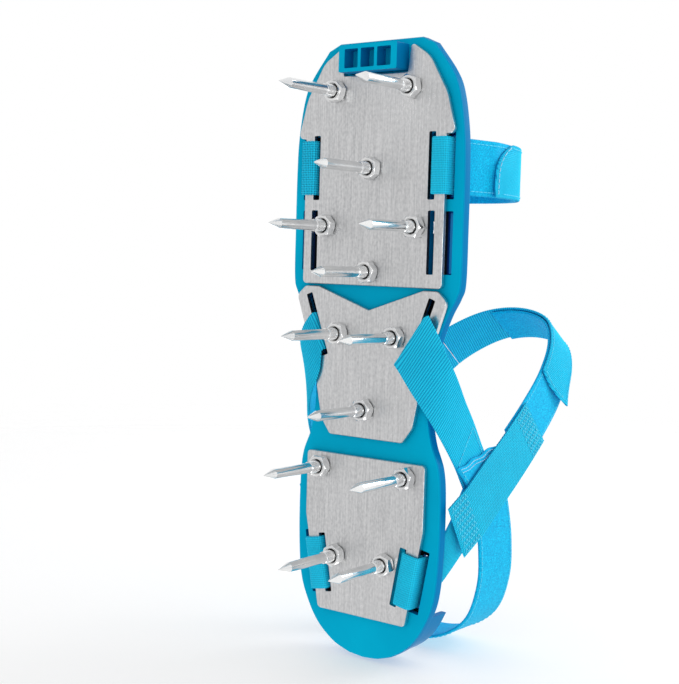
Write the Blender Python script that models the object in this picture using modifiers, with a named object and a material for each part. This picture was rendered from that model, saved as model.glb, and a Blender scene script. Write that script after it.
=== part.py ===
"""Strap-on lawn aerator sandal (right foot), built as separate solids.

Units are metres, +Z is up.  The sandal stands on its spike tips at Z = 0, the toe
points along -Y, the heel along +Y, and +X is the wearer's inner (medial) side.
The straps are shaped as they lie when the sandal is buckled over a work boot.
"""
import math

import bmesh
import bpy
from mathutils import Matrix, Vector

# ---------------------------------------------------------------- heights
MM = 0.001
GAP = 0.3 * MM                      # air left between touching pieces
CUT_MARGIN = 3.0 * MM               # how far cutters reach beyond a face
PLATE_FACE_Z = 44.5 * MM            # outer (ground side) face of the steel plates
PLATE_THICKNESS = 2.2 * MM
PLATE_TOP_Z = PLATE_FACE_Z + PLATE_THICKNESS
PAD_Z = PLATE_TOP_Z + GAP           # moulded seats that the plates rest on
PAD_HEIGHT = 0.8 * MM
PAD_ROOT = 1.3 * MM                 # how deep a seat's blank reaches into the sole
RIM_Z = PAD_Z + PAD_HEIGHT          # underside of the moulded sole
SOLE_THICKNESS = 6.0 * MM
FOOTBED_Z = RIM_Z + SOLE_THICKNESS

# ---------------------------------------------------------------- sole
SOLE_LENGTH = 300.0 * MM
TOE_Y = -SOLE_LENGTH / 2
HEEL_Y = SOLE_LENGTH / 2
SOLE_CHAMFER = 1.0 * MM
# Half outline, toe to heel: (half width, distance from the toe).
SOLE_HALF_OUTLINE = [
    (31, 3), (41.5, 16.5), (46, 27), (49, 45), (49.8, 63), (49.9, 90), (49.7, 114),
    (47.6, 121.5), (43, 130), (38, 143), (34.6, 160), (34, 176), (36.4, 190),
    (41, 202), (42.5, 216), (42.5, 242), (40.6, 264), (35.6, 277.5), (28.5, 288),
    (18.5, 295.6), (8.5, 299.2),
]
TOE_FLAT_HALF = 24.2 * MM

BUMPER_SIZE = Vector((34.0, 12.6, 10.0)) * MM
BUMPER_FRONT_INSET = 2.8 * MM
BUMPER_ROOT = 2.0 * MM              # how deep the bumper's blank reaches into the sole
BUMPER_POCKET_FLOOR = 3.0 * MM      # material left above the bumper's three pockets
POCKET_SIZE = Vector((7.9, 9.0, 8.0)) * MM
POCKET_PITCH = 9.6 * MM

LIP_INSET = 0.6 * MM                # lip's outer face stands just inside the sole's edge
LIP_HEIGHT = 12.5 * MM
LIP_ROOT = 2.4 * MM                 # how deep the lip's blank reaches into the sole
LIP_THICKNESS = 3.0 * MM
LIP_START_Y = 124.0 * MM
LIP_TRIM_SIZE = Vector((120.0, 300.0, 60.0)) * MM

# ---------------------------------------------------------------- spikes
# (half spacing, distance from the toe); zero spacing is a single centre spike.
SPIKE_ROWS = [
    (22.1, 23.5), (0, 61.0), (26.3, 88.5), (0, 110.3), (16.9, 140.9), (0, 176.9),
    (25.5, 207.2), (14.9, 250.3),
]
SPIKE_SEGMENTS = 12
THREAD_RADIUS = 3.05 * MM
SHAFT_RADIUS = 2.5 * MM
SHAFT_TOP_Z = 32.6 * MM
THREAD_END_Z = 33.6 * MM
POINT_LENGTH = 7.0 * MM
HOLE_RADIUS = THREAD_RADIUS + GAP
HEAD_RADIUS = 5.3 * MM
HEAD_HEIGHT = 2.4 * MM
HEAD_CROWN_RADIUS = 3.3 * MM
HEAD_CROWN_DROP = 0.3 * MM
HEAD_DOME_HEIGHT = 1.2 * MM
HEAD_RECESS_RADIUS = 6.2 * MM
HEAD_RECESS_DEPTH = 2.9 * MM
HEAD_SEAT_Z = FOOTBED_Z - HEAD_RECESS_DEPTH + GAP
CROSS_LENGTH = 5.6 * MM
CROSS_WIDTH = 1.2 * MM
CROSS_DEPTH = 1.5 * MM
NUT_ACROSS_FLATS = 10.0 * MM
NUT_HEIGHT = 5.0 * MM
NUT_TOP_Z = PLATE_FACE_Z - GAP

# ---------------------------------------------------------------- plates
# Half outlines as (x, distance from the toe, corner radius).
TOE_PLATE_HALF = [
    (18.7, 16.2, 0.6), (20.3, 2.6, 1.6), (31.0, 9.5, 14), (41.0, 26.5, 20), (46.3, 45.4, 2.5),
    (41.4, 45.9, 0.8), (41.4, 117.0, 2.2),
]
MID_PLATE_HALF = [
    (0, 128.7, 0), (31.0, 118.2, 3), (39.5, 118.2, 3.5), (44.6, 123.0, 3.5), (39.4, 138.0, 3),
    (29.2, 147.5, 4), (29.4, 155.0, 5), (31.4, 164.5, 8), (27.4, 183.5, 5), (21.8, 191.0, 2.2),
]
HEEL_PLATE_HALF = [
    (35.4, 200.3, 2.0), (35.4, 232.0, 6), (26.4, 279.0, 2.2),
]
# Seats moulded on the sole, just inside the plates; half outlines as above.
TOE_SEAT_HALF = [(16.0, 19.0, 1), (29.0, 14.0, 8), (39.0, 30.0, 8), (39.0, 114.5, 2)]
MID_SEAT_HALF = [
    (0, 131.5, 0), (31.5, 121.0, 2), (40.0, 121.0, 2), (36.5, 137.0, 2), (26.5, 148.5, 3),
    (26.5, 162.0, 8), (23.5, 186.5, 2),
]
HEEL_SEAT_HALF = [(33.0, 203.0, 2), (33.0, 231.5, 4), (24.0, 276.5, 2)]
# Slots as (centre x, distance from the toe, length, turn from straight ahead in degrees).
SLOT_WIDTH = 3.8 * MM
TOE_SLOT = (34.0, 60.1, 31.4, 0)
SPARE_SLOT = (34.6, 95.7, 29.7, 0)
MID_SLOT = (31.2, 137.0, 32.0, 20)
HEEL_SLOT = (22.2, 255.4, 29.3, 10.4)
TOE_BAR_WIDTH = 5.5 * MM
HEEL_BAR_WIDTH = 6.5 * MM
# Pockets in the sole's underside, where webbing goes around a plate's edge bar, and the
# slits that lead on to the footbed: (centre x, distance from the toe, width, length, turn).
POCKET_CEILING_Z = RIM_Z + 3.5 * MM
SOLE_POCKETS = [
    (38.2, 60.1, 12.8, 31.0, 0),
    (38.2, 95.7, 12.8, 29.4, 0),
    (31.2, 137.0, 8.4, 33.0, 20),
    (28.4, 256.0, 13.4, 31.5, 10.4),
]
SOLE_SLITS = [
    (42.75, 60.1, 3.6, 28.4, 0),
    (42.75, 95.7, 3.6, 28.4, 0),
    (31.55, 257.1, 3.8, 28.8, 10.4),
]

# ---------------------------------------------------------------- straps
WEB_THICKNESS = 1.5 * MM
LAYER = WEB_THICKNESS + 0.4 * MM    # spacing of webbing layers that lie on each other
SEWN_END_RISE = 2.6 * MM            # length of the sewn end that stands in a pocket
TOE_WEB_WIDTH = 26.4 * MM
SIDE_WEB_WIDTH = 26.0 * MM
INSTEP_WIDTH = 30.0 * MM
TOE_STRAP_Y = TOE_Y + 60.1 * MM
ARCH_HALF_WIDTH = 47.5 * MM
ARCH_HEIGHT = 82.0 * MM
ARCH_POWER = 2.5
RING_WIRE_RADIUS = 1.5 * MM
RING_LOOSENESS = 1.2 * MM
RING_BAR_SPACING = 11.0 * MM
RING_LOWER_HEIGHT = 41.0 * MM       # lower bar above the footbed
RING_LENGTH = 31.5 * MM             # between the end wires' centres
RING_CORNER = 2.5 * MM
UPPER_BAR_HEIGHT = RING_LOWER_HEIGHT + RING_BAR_SPACING
TAIL_HINGE_HEIGHT = UPPER_BAR_HEIGHT + 13.0 * MM
# Places along the toe arch, 0 on the inner side to 1 on the outer side.
TOE_ARCH_START = 0.075
TAIL_END = 0.062
TAIL_HINGE_GAP = 0.0022

STEEL = ("plate_steel", (0.60, 0.60, 0.61), 0.32, 1.0)
ZINC = ("zinc_steel", (0.72, 0.73, 0.75), 0.22, 1.0)
SOLE_BLUE = ("sole_polypropylene", (0.01, 0.30, 0.62), 0.45, 0.0)
WEB_BLUE = ("webbing_blue", (0.05, 0.42, 0.80), 0.85, 0.0)
LOOP_BLUE = ("loop_pile_blue", (0.04, 0.38, 0.78), 0.95, 0.0)


def clear_scene():
    """Empty the file, so that the script gives the same model each time it is run."""
    for obj in list(bpy.data.objects):
        bpy.data.objects.remove(obj, do_unlink=True)


def new_collection(name):
    """Make a collection of this name in the scene."""
    collection = bpy.data.collections.new(name)
    bpy.context.scene.collection.children.link(collection)
    return collection


clear_scene()
PARTS = new_collection("lawn_aerator_sandal")
CUTTERS = new_collection("cutters")
HOLE_CUTTERS = new_collection("spike_hole_cutters")


def material(spec):
    """Return the Principled material that the spec names, made once."""
    name, colour, roughness, metallic = spec
    found = bpy.data.materials.get(name)
    if found:
        return found
    made = bpy.data.materials.new(name)
    made.use_nodes = True
    shader = made.node_tree.nodes["Principled BSDF"]
    shader.inputs["Base Color"].default_value = (*colour, 1.0)
    shader.inputs["Roughness"].default_value = roughness
    shader.inputs["Metallic"].default_value = metallic
    return made


def place(name, mesh, spec=None, collection=None):
    """Put a mesh in the scene as a named part, or as a cutter if it has no material."""
    obj = bpy.data.objects.new(name, mesh)
    if spec is None:
        (collection or CUTTERS).objects.link(obj)
        obj.hide_render = True
        obj.display_type = "WIRE"
        return obj
    PARTS.objects.link(obj)
    if not mesh.materials:
        mesh.materials.append(material(spec))
    return obj


def evaluated_mesh(obj):
    """Return a welded copy of the mesh that an object's curve or modifiers give."""
    bpy.context.view_layer.update()
    graph = bpy.context.evaluated_depsgraph_get()
    mesh = bpy.data.meshes.new_from_object(obj.evaluated_get(graph))
    mesh.transform(obj.matrix_world)
    work = bmesh.new()
    work.from_mesh(mesh)
    bmesh.ops.remove_doubles(work, verts=work.verts, dist=0.00001)
    work.to_mesh(mesh)
    work.free()
    return mesh


def slab_mesh(outline, low, high):
    """Return a closed slab: a flat outline of (x, y) points between two heights."""
    curve = bpy.data.curves.new("outline", "CURVE")
    curve.dimensions = "2D"
    curve.fill_mode = "BOTH"
    curve.extrude = (high - low) / 2
    spline = curve.splines.new("POLY")
    spline.points.add(len(outline) - 1)
    for point, (x, y) in zip(spline.points, outline):
        point.co = (x, y, 0, 1)
    spline.use_cyclic_u = True
    holder = bpy.data.objects.new("outline", curve)
    CUTTERS.objects.link(holder)
    holder.location.z = (low + high) / 2
    mesh = evaluated_mesh(holder)
    bpy.data.objects.remove(holder)
    bpy.data.curves.remove(curve)
    return mesh


def box(name, centre, size, turn=0.0):
    """Add a box cutter, turned about the vertical."""
    work = bmesh.new()
    bmesh.ops.create_cube(work, size=1.0)
    mesh = bpy.data.meshes.new(name)
    work.to_mesh(mesh)
    work.free()
    mesh.transform(Matrix.Diagonal((*size, 1.0)))
    obj = place(name, mesh)
    obj.location = centre
    obj.rotation_euler.z = turn
    return obj


def turned(name, profile, spec=None, collection=None, segments=SPIKE_SEGMENTS):
    """Turn a profile of (radius, height) points, listed top to bottom, about Z."""
    mesh = bpy.data.meshes.new(name)
    points = [(radius, 0, height) for radius, height in profile]
    edges = [(i, i + 1) for i in range(len(points) - 1)]
    mesh.from_pydata(points, edges, [])
    obj = place(name, mesh, spec, collection)
    screw = obj.modifiers.new("turn", "SCREW")
    screw.steps = segments
    screw.render_steps = segments
    screw.use_merge_vertices = True
    screw.merge_threshold = 0.00001
    return obj


def boolean(obj, cutter, operation="DIFFERENCE"):
    """Cut or join with another object, or with all objects of a collection."""
    modifier = obj.modifiers.new(operation.lower(), "BOOLEAN")
    modifier.operation = operation
    modifier.solver = "EXACT"
    if isinstance(cutter, bpy.types.Collection):
        modifier.operand_type = "COLLECTION"
        modifier.collection = cutter
    else:
        modifier.object = cutter


def soften(mesh, degrees=35):
    """Shade a round piece smooth, with its sharp edges kept."""
    mesh.shade_smooth()
    mesh.set_sharp_from_angle(angle=math.radians(degrees))


# ---------------------------------------------------------------- outlines
def from_toe(x, distance):
    """Turn (x, distance from the toe) in millimetres into model coordinates."""
    return Vector((x * MM, TOE_Y + distance * MM))


def catmull(points, steps):
    """Pass a smooth curve through points; the ends are kept."""
    padded = [points[0] * 2 - points[1], *points, points[-1] * 2 - points[-2]]
    curve = []
    for a, b, c, d in zip(padded, padded[1:], padded[2:], padded[3:]):
        for i in range(steps):
            t = i / steps
            curve.append((b * 2 + (c - a) * t + (a * 2 - b * 5 + c * 4 - d) * t * t
                          + (b * 3 - a - c * 3 + d) * t * t * t) / 2)
    curve.append(points[-1].copy())
    return curve


def rounded(corners, arc_steps=3):
    """Round each corner (x, y, radius) of a closed outline with an arc."""
    outline = []
    for i, (x, y, radius) in enumerate(corners):
        here = Vector((x, y))
        before = Vector(corners[i - 1][:2])
        after = Vector(corners[(i + 1) % len(corners)][:2])
        back = (before - here).normalized()
        ahead = (after - here).normalized()
        half_angle = back.angle(ahead) / 2
        if radius == 0 or half_angle > math.radians(89):
            outline.append(here)
            continue
        reach = radius / math.tan(half_angle)
        centre = here + (back + ahead).normalized() * radius / math.sin(half_angle)
        start = here + back * reach - centre
        sweep = start.angle_signed(here + ahead * reach - centre)
        for step in range(arc_steps + 1):
            turn = Matrix.Rotation(-sweep * step / arc_steps, 2)
            outline.append(centre + turn @ start)
    return outline


def mirrored_outline(half):
    """Close a half outline at +X with its mirror image."""
    other = [Vector((-p.x, p.y)) for p in reversed(half) if p.x > GAP]
    return [*half, *other]


def mirrored_corners(half):
    """Close a half outline of (x, distance from toe, radius) corners in millimetres."""
    right = [(*from_toe(x, y), radius * MM) for x, y, radius in half]
    left = [(-x, y, radius) for x, y, radius in reversed(right) if x > 0]
    return [*right, *left]


def inset(outline, distance):
    """Move a closed, counter-clockwise or clockwise outline inward by a distance."""
    area = sum(a.x * b.y - b.x * a.y for a, b in zip(outline, outline[1:] + outline[:1]))
    side = 1 if area > 0 else -1
    moved = []
    for i, here in enumerate(outline):
        along = (outline[(i + 1) % len(outline)] - outline[i - 1]).normalized()
        moved.append(here + Vector((-along.y, along.x)) * distance * side)
    return moved


def sole_outline():
    """Return the sole's outline: a flat toe, a waist and a round heel."""
    half = [Vector((TOE_FLAT_HALF, TOE_Y))]
    half += catmull([from_toe(x, y) for x, y in SOLE_HALF_OUTLINE], 2)
    half.append(Vector((0, HEEL_Y)))
    return mirrored_outline(half)


# ---------------------------------------------------------------- hard parts
def spike_places():
    """Return each spike's (x, y), toe to heel, inner side before outer side."""
    places = []
    for spacing, distance in SPIKE_ROWS:
        for side in ((1, -1) if spacing else (0,)):
            places.append(from_toe(spacing * side, distance))
    return places


def slot_cutters(name, slot, width, low, high):
    """Add the pair of slot or opening cutters, one on each side."""
    x, distance, length, turn = slot
    for side, label in ((1, "medial"), (-1, "lateral")):
        middle = from_toe(x * side, distance)
        centre = Vector((middle.x, middle.y, (low + high) / 2))
        size = (width, length * MM, high - low)
        yield box(f"{name}_{label}", centre, size, math.radians(turn) * side)


def make_hole_cutters():
    """Add a stepped cutter for each spike: clearance hole and head recess."""
    recess_floor = FOOTBED_Z - HEAD_RECESS_DEPTH
    above = FOOTBED_Z + CUT_MARGIN
    below = NUT_TOP_Z - NUT_HEIGHT - CUT_MARGIN
    profile = [
        (0, above), (HEAD_RECESS_RADIUS, above), (HEAD_RECESS_RADIUS, recess_floor),
        (HOLE_RADIUS, recess_floor), (HOLE_RADIUS, below), (0, below),
    ]
    for number, spot in enumerate(spike_places(), 1):
        cutter = turned(f"hole_cutter_{number:02d}", profile, collection=HOLE_CUTTERS)
        cutter.location = (spot.x, spot.y, 0)


def cut_openings(sole, kind, openings, top):
    """Cut pairs of openings up from below the sole to a height."""
    for number, (x, distance, width, length, turn) in enumerate(openings, 1):
        slot = (x, distance, length, turn)
        for cutter in slot_cutters(f"{kind}_{number}", slot, width * MM, RIM_Z - CUT_MARGIN, top):
            boolean(sole, cutter)


def make_sole():
    """Model the moulded sole with its bumper, plate seats, openings and heel lip."""
    outline = sole_outline()
    sole = place("sole", slab_mesh(outline, RIM_Z, FOOTBED_Z), SOLE_BLUE)
    bevel = sole.modifiers.new("edge chamfer", "BEVEL")
    bevel.width = SOLE_CHAMFER
    bevel.segments = 1
    bevel.limit_method = "ANGLE"
    bevel.angle_limit = math.radians(60)

    lip_outline = inset(outline, LIP_INSET)
    lip = place("lip_blank", slab_mesh(lip_outline, FOOTBED_Z - LIP_ROOT, FOOTBED_Z + LIP_HEIGHT))
    core_outline = inset(outline, LIP_INSET + LIP_THICKNESS)
    core_top = FOOTBED_Z + LIP_HEIGHT + CUT_MARGIN
    core = slab_mesh(core_outline, FOOTBED_Z - LIP_ROOT - CUT_MARGIN, core_top)
    boolean(lip, place("lip_core", core))
    front = box("lip_front", (0, LIP_START_Y - LIP_TRIM_SIZE.y / 2, FOOTBED_Z), LIP_TRIM_SIZE)
    boolean(lip, front)
    boolean(sole, lip, "UNION")

    bumper_y = TOE_Y + BUMPER_FRONT_INSET + BUMPER_SIZE.y / 2
    bumper_height = BUMPER_SIZE.z + BUMPER_ROOT
    bumper_z = RIM_Z - BUMPER_SIZE.z + bumper_height / 2
    bumper = box("bumper_block", (0, bumper_y, bumper_z), (BUMPER_SIZE.x, BUMPER_SIZE.y, bumper_height))
    boolean(sole, bumper, "UNION")
    for index in (-1, 0, 1):
        spot = (index * POCKET_PITCH, bumper_y, RIM_Z - BUMPER_POCKET_FLOOR - POCKET_SIZE.z / 2)
        boolean(sole, box(f"pocket_{index + 2}", spot, POCKET_SIZE))

    for name, half in (("toe", TOE_SEAT_HALF), ("mid", MID_SEAT_HALF), ("heel", HEEL_SEAT_HALF)):
        seat = rounded(mirrored_corners(half))
        pad = place(f"{name}_seat", slab_mesh(seat, PAD_Z, RIM_Z + PAD_ROOT))
        boolean(sole, pad, "UNION")
    cut_openings(sole, "webbing_pocket", SOLE_POCKETS, POCKET_CEILING_Z)
    cut_openings(sole, "webbing_slit", SOLE_SLITS, FOOTBED_Z + CUT_MARGIN)
    boolean(sole, HOLE_CUTTERS)


def make_plate(name, half, slots):
    """Model one steel plate with its strap slots and spike holes."""
    outline = rounded(mirrored_corners(half))
    plate = place(name, slab_mesh(outline, PLATE_FACE_Z, PLATE_TOP_Z), STEEL)
    for number, slot in enumerate(slots, 1):
        cutter_name = f"{name}_slot_{number}"
        low, high = PLATE_FACE_Z - CUT_MARGIN, PLATE_TOP_Z + CUT_MARGIN
        for cutter in slot_cutters(cutter_name, slot, SLOT_WIDTH, low, high):
            boolean(plate, cutter)
    boolean(plate, HOLE_CUTTERS)


def make_spikes():
    """Model the spike bolts and their nuts, one pair at each place."""
    head_top = HEAD_SEAT_Z + HEAD_HEIGHT
    profile = [
        (0, head_top), (HEAD_CROWN_RADIUS, head_top - HEAD_CROWN_DROP),
        (HEAD_RADIUS, head_top - HEAD_DOME_HEIGHT), (HEAD_RADIUS, HEAD_SEAT_Z),
        (THREAD_RADIUS, HEAD_SEAT_Z), (THREAD_RADIUS, THREAD_END_Z),
        (SHAFT_RADIUS, SHAFT_TOP_Z), (SHAFT_RADIUS, POINT_LENGTH), (0, 0),
    ]
    blank = turned("bolt_blank", profile)
    for turn in (0, math.pi / 2):
        bar = (0, 0, head_top)
        size = (CROSS_LENGTH, CROSS_WIDTH, CROSS_DEPTH * 2)
        boolean(blank, box("cross_bar", bar, size, turn))
    bolt_mesh = evaluated_mesh(blank)
    soften(bolt_mesh)

    work = bmesh.new()
    radius = NUT_ACROSS_FLATS / math.sqrt(3)
    bmesh.ops.create_cone(work, cap_ends=True, segments=6, radius1=radius, radius2=radius,
                          depth=NUT_HEIGHT)
    hexagon = bpy.data.meshes.new("nut_blank")
    work.to_mesh(hexagon)
    work.free()
    nut_blank = place("nut_blank", hexagon)
    nut_blank.location.z = NUT_TOP_Z - NUT_HEIGHT / 2
    bore_high = NUT_TOP_Z + CUT_MARGIN
    bore_low = NUT_TOP_Z - NUT_HEIGHT - CUT_MARGIN
    bore = [(0, bore_high), (HOLE_RADIUS, bore_high), (HOLE_RADIUS, bore_low), (0, bore_low)]
    boolean(nut_blank, turned("nut_bore", bore))
    nut_mesh = evaluated_mesh(nut_blank)
    bolt_mesh.materials.append(material(ZINC))
    nut_mesh.materials.append(material(ZINC))

    for number, spot in enumerate(spike_places(), 1):
        bolt = place(f"spike_bolt_{number:02d}", bolt_mesh, ZINC)
        bolt.location = (spot.x, spot.y, 0)
        nut = place(f"spike_nut_{number:02d}", nut_mesh, ZINC)
        nut.location = (spot.x, spot.y, 0)


# ---------------------------------------------------------------- straps
def strip(name, rows, spec, thickness=WEB_THICKNESS, origin=None):
    """Model webbing as a thin solid along rows, each row its two edge points."""
    mesh = bpy.data.meshes.new(name)
    points = [point for row in rows for point in row]
    faces = [(2 * i, 2 * i + 1, 2 * i + 3, 2 * i + 2) for i in range(len(rows) - 1)]
    mesh.from_pydata(points, [], faces)
    obj = place(name, mesh, spec)
    if origin is not None:
        mesh.transform(Matrix.Translation(-origin))
        obj.location = origin
    solid = obj.modifiers.new("webbing thickness", "SOLIDIFY")
    solid.thickness = thickness
    solid.offset = 0
    solid.use_even_offset = True
    return obj


def toe_arch(t, off):
    """Return (x, z) on the toe arch, moved outward; t runs 0 to 1, inner to outer side."""
    angle = math.pi * t
    side = math.copysign(1, math.cos(angle))
    power = 2 / ARCH_POWER
    x = ARCH_HALF_WIDTH * abs(math.cos(angle)) ** power
    z = ARCH_HEIGHT * math.sin(angle) ** power
    slope = Vector((x ** (ARCH_POWER - 1) / ARCH_HALF_WIDTH ** ARCH_POWER,
                    z ** (ARCH_POWER - 1) / ARCH_HEIGHT ** ARCH_POWER)).normalized()
    return Vector((side * (x + slope.x * off), FOOTBED_Z + z + slope.y * off))


def arch_place(height, off, side):
    """Return (x, z) and the arch parameter at a height above the footbed."""
    angle = math.asin((height / ARCH_HEIGHT) ** (ARCH_POWER / 2))
    t = angle / math.pi
    if side < 0:
        t = 1 - t
    return toe_arch(t, off), t


def bar_wrap(bar_width, rise):
    """Return (outward, height) points of webbing sewn around a plate's bar.

    Outward is measured from the slot's middle.  The sewn end stands beside the
    bar, the webbing goes over it, down through the slot, under and up outside.
    """
    half = WEB_THICKNESS / 2 + GAP
    inner = SLOT_WIDTH / 2 - half
    outer = SLOT_WIDTH / 2 + bar_width + half
    over = PLATE_TOP_Z + half
    under = PLATE_FACE_Z - half
    turn = 0.7 * MM
    sewn = outer - LAYER
    return [
        (sewn, over + rise), (sewn, over + 1.6 * MM), (sewn - 0.5 * MM, over + 0.5 * MM),
        (sewn - 1.6 * MM, over), (inner + turn, over), (inner, over - turn),
        (inner, under + turn), (inner + turn, under), (outer - turn, under),
        (outer, under + turn), (outer, over),
    ]


def across(points, middle_y, width):
    """Turn (x, z) points into rows straight across, centred on middle_y."""
    return [(Vector((x, middle_y - width / 2, z)), Vector((x, middle_y + width / 2, z)))
            for x, z in points]


def ring_bars():
    """Return the (x, z) of the ring's lower and upper bar on the outer side."""
    off = WEB_THICKNESS + RING_LOOSENESS + RING_WIRE_RADIUS
    lower, _ = arch_place(RING_LOWER_HEIGHT, off, -1)
    upper, _ = arch_place(RING_LOWER_HEIGHT + RING_BAR_SPACING, off, -1)
    return lower, lower + (upper - lower).normalized() * RING_BAR_SPACING


def arch_run(start, end, off, steps=26):
    """Return (x, z) points along the toe arch between two places on it."""
    return [toe_arch(start + (end - start) * i / steps, off) for i in range(steps + 1)]


def around_bar(bar, start, end):
    """Return (x, z) points around a ring bar, by angle in degrees from +X toward +Z."""
    reach = RING_WIRE_RADIUS + RING_LOOSENESS + WEB_THICKNESS / 2
    steps = 8
    points = []
    for step in range(steps + 1):
        angle = math.radians(start + (end - start) * step / steps)
        points.append(bar + Vector((math.cos(angle), math.sin(angle))) * reach)
    return points


def make_toe_straps():
    """Model the toe strap, its folded-back tail, the ring and the ring's webbing."""
    half = WEB_THICKNESS / 2
    slot_x = TOE_SLOT[0] * MM
    wrap = [(slot_x + out, z) for out, z in bar_wrap(TOE_BAR_WIDTH, SEWN_END_RISE)]
    lower_bar, upper_bar = ring_bars()
    outside = Vector(wrap[-1])
    stem = [outside, Vector((outside.x + 0.4 * MM, FOOTBED_Z)),
            Vector((outside.x + 2.4 * MM, FOOTBED_Z + 9 * MM))]

    _, ring_t = arch_place(UPPER_BAR_HEIGHT + 2 * MM, half, -1)
    over_toe = arch_run(TOE_ARCH_START, ring_t, half)
    rise = catmull([*stem, *over_toe[:1]], 3)[:-1]
    fold = around_bar(upper_bar, 14, -180)
    stub_low, _ = arch_place(UPPER_BAR_HEIGHT + 7 * MM, half + LAYER + MM, -1)
    stub_high, tail_t = arch_place(TAIL_HINGE_HEIGHT, half + LAYER, -1)
    path = wrap[:-1] + [tuple(p) for p in rise + over_toe + fold + [stub_low, stub_high]]
    strip("toe_strap", across(path, TOE_STRAP_Y, TOE_WEB_WIDTH), LOOP_BLUE)

    tail = arch_run(tail_t - TAIL_HINGE_GAP, TAIL_END, half + LAYER)
    hinge, _ = arch_place(TAIL_HINGE_HEIGHT, 2 * half + LAYER, -1)
    origin = Vector((hinge.x, TOE_STRAP_Y, hinge.y))
    strip("toe_strap_tail", across(tail, TOE_STRAP_Y, TOE_WEB_WIDTH), WEB_BLUE, origin=origin)

    anchor_rise = []
    for height, off, shift in (
            (9, LAYER, -2.2), (17, half + LAYER, 0), (26, half + LAYER, 0), (33, half + LAYER + 1.6 * MM, 0)):
        spot, _ = arch_place(height * MM, off, 1)
        anchor_rise.append(Vector((spot.x + shift * MM, spot.y)))
    anchor_rise = catmull([*stem[:2], *anchor_rise], 3)
    mirrored_bar = Vector((-lower_bar.x, lower_bar.y))
    fold = around_bar(mirrored_bar, -14, 180)
    back = [arch_place(height * MM, half, 1)[0] for height in (37, 30, 23)]
    path = wrap[:-1] + [tuple(p) for p in anchor_rise + fold + back]
    path = [(-x, z) for x, z in path]
    strip("toe_anchor_webbing", across(path, TOE_STRAP_Y, TOE_WEB_WIDTH), WEB_BLUE)

    up = (upper_bar - lower_bar).normalized()
    long_half = RING_LENGTH / 2
    short_half = RING_BAR_SPACING / 2
    corners = [(-long_half, -short_half), (long_half, -short_half), (long_half, short_half),
               (-long_half, short_half)]
    loop = rounded([(x, y, RING_CORNER) for x, y in corners])
    curve = bpy.data.curves.new("toe_ring", "CURVE")
    curve.dimensions = "3D"
    curve.bevel_depth = RING_WIRE_RADIUS
    curve.bevel_resolution = 2
    spline = curve.splines.new("POLY")
    spline.points.add(len(loop) - 1)
    for point, (along, height) in zip(spline.points, loop):
        rise = up * (height + short_half)
        point.co = (rise.x, along, rise.y, 1)
    spline.use_cyclic_u = True
    holder = bpy.data.objects.new("ring_wire", curve)
    CUTTERS.objects.link(holder)
    mesh = evaluated_mesh(holder)
    bpy.data.objects.remove(holder)
    soften(mesh, 60)
    ring = place("toe_ring", mesh, ZINC)
    ring.location = (lower_bar.x, TOE_STRAP_Y, lower_bar.y)


def slot_point(slot, side, out, along, height):
    """Return a point by its place at a slot: outward and along it, toe end negative."""
    x, distance, _, turn = slot
    middle = from_toe(x, distance)
    angle = math.radians(turn)
    outward = Vector((math.cos(angle), math.sin(angle)))
    onward = Vector((-math.sin(angle), math.cos(angle)))
    flat = middle + outward * out + onward * along
    return Vector((flat.x * side, flat.y, height))


def mirror_rows(rows, side):
    """Mirror rows to the outer side, with their points swapped to keep the facing."""
    if side > 0:
        return rows
    return [(Vector((-a.x, a.y, a.z)), Vector((-b.x, b.y, b.z))) for a, b in rows]


def smooth_rows(rows, steps=3):
    """Pass smooth edges through rows."""
    front = catmull([row[0] for row in rows], steps)
    back = catmull([row[1] for row in rows], steps)
    return list(zip(front, back))


def row_mm(front, back):
    """Return a row from two points in millimetres."""
    return Vector(front) * MM, Vector(back) * MM


# Rows of the mid straps as (toe-side edge, heel-side edge), each (x, y, z) in millimetres.
# Inner side, below the plate: from the slot inward and folded back on itself.
MID_MEDIAL_START = [
    ((33.5, -18.8, 44.3), (26.4, -0.7, 44.0)),
    ((33.7, -18.9, 43.7), (25.6, -0.4, 43.4)),
    ((34.0, -19.0, 43.1), (19.4, 3.1, 43.4)),
    ((34.2, -19.2, 42.8), (18.6, 3.5, 43.1)),
    ((34.6, -19.4, 42.4), (18.3, 3.8, 42.4)),
    ((35.2, -19.8, 41.9), (18.6, 4.1, 41.6)),
    ((36.0, -20.2, 41.5), (19.4, 4.7, 41.3)),
]
MID_MEDIAL_CLIMB = [
    ((36.9, -20.6, 41.4), (21.2, 6.7, 41.3)),
    ((43.2, -10.2, 42.2), (28.5, 15.8, 41.4)),
    ((46.2, 0.5, 47.0), (35.2, 24.2, 42.2)),
    ((45.6, 9.6, 55.0), (39.6, 32.6, 45.6)),
    ((44.6, 20, 63.5), (41.8, 42.0, 52.0)),
    ((44.0, 30, 72), (42.8, 52.0, 59.5)),
    ((43.0, 41, 81), (42.6, 62.0, 67.0)),
    ((42.5, 47.5, 86.3), (42.9, 67.5, 71.2)),
]
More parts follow.
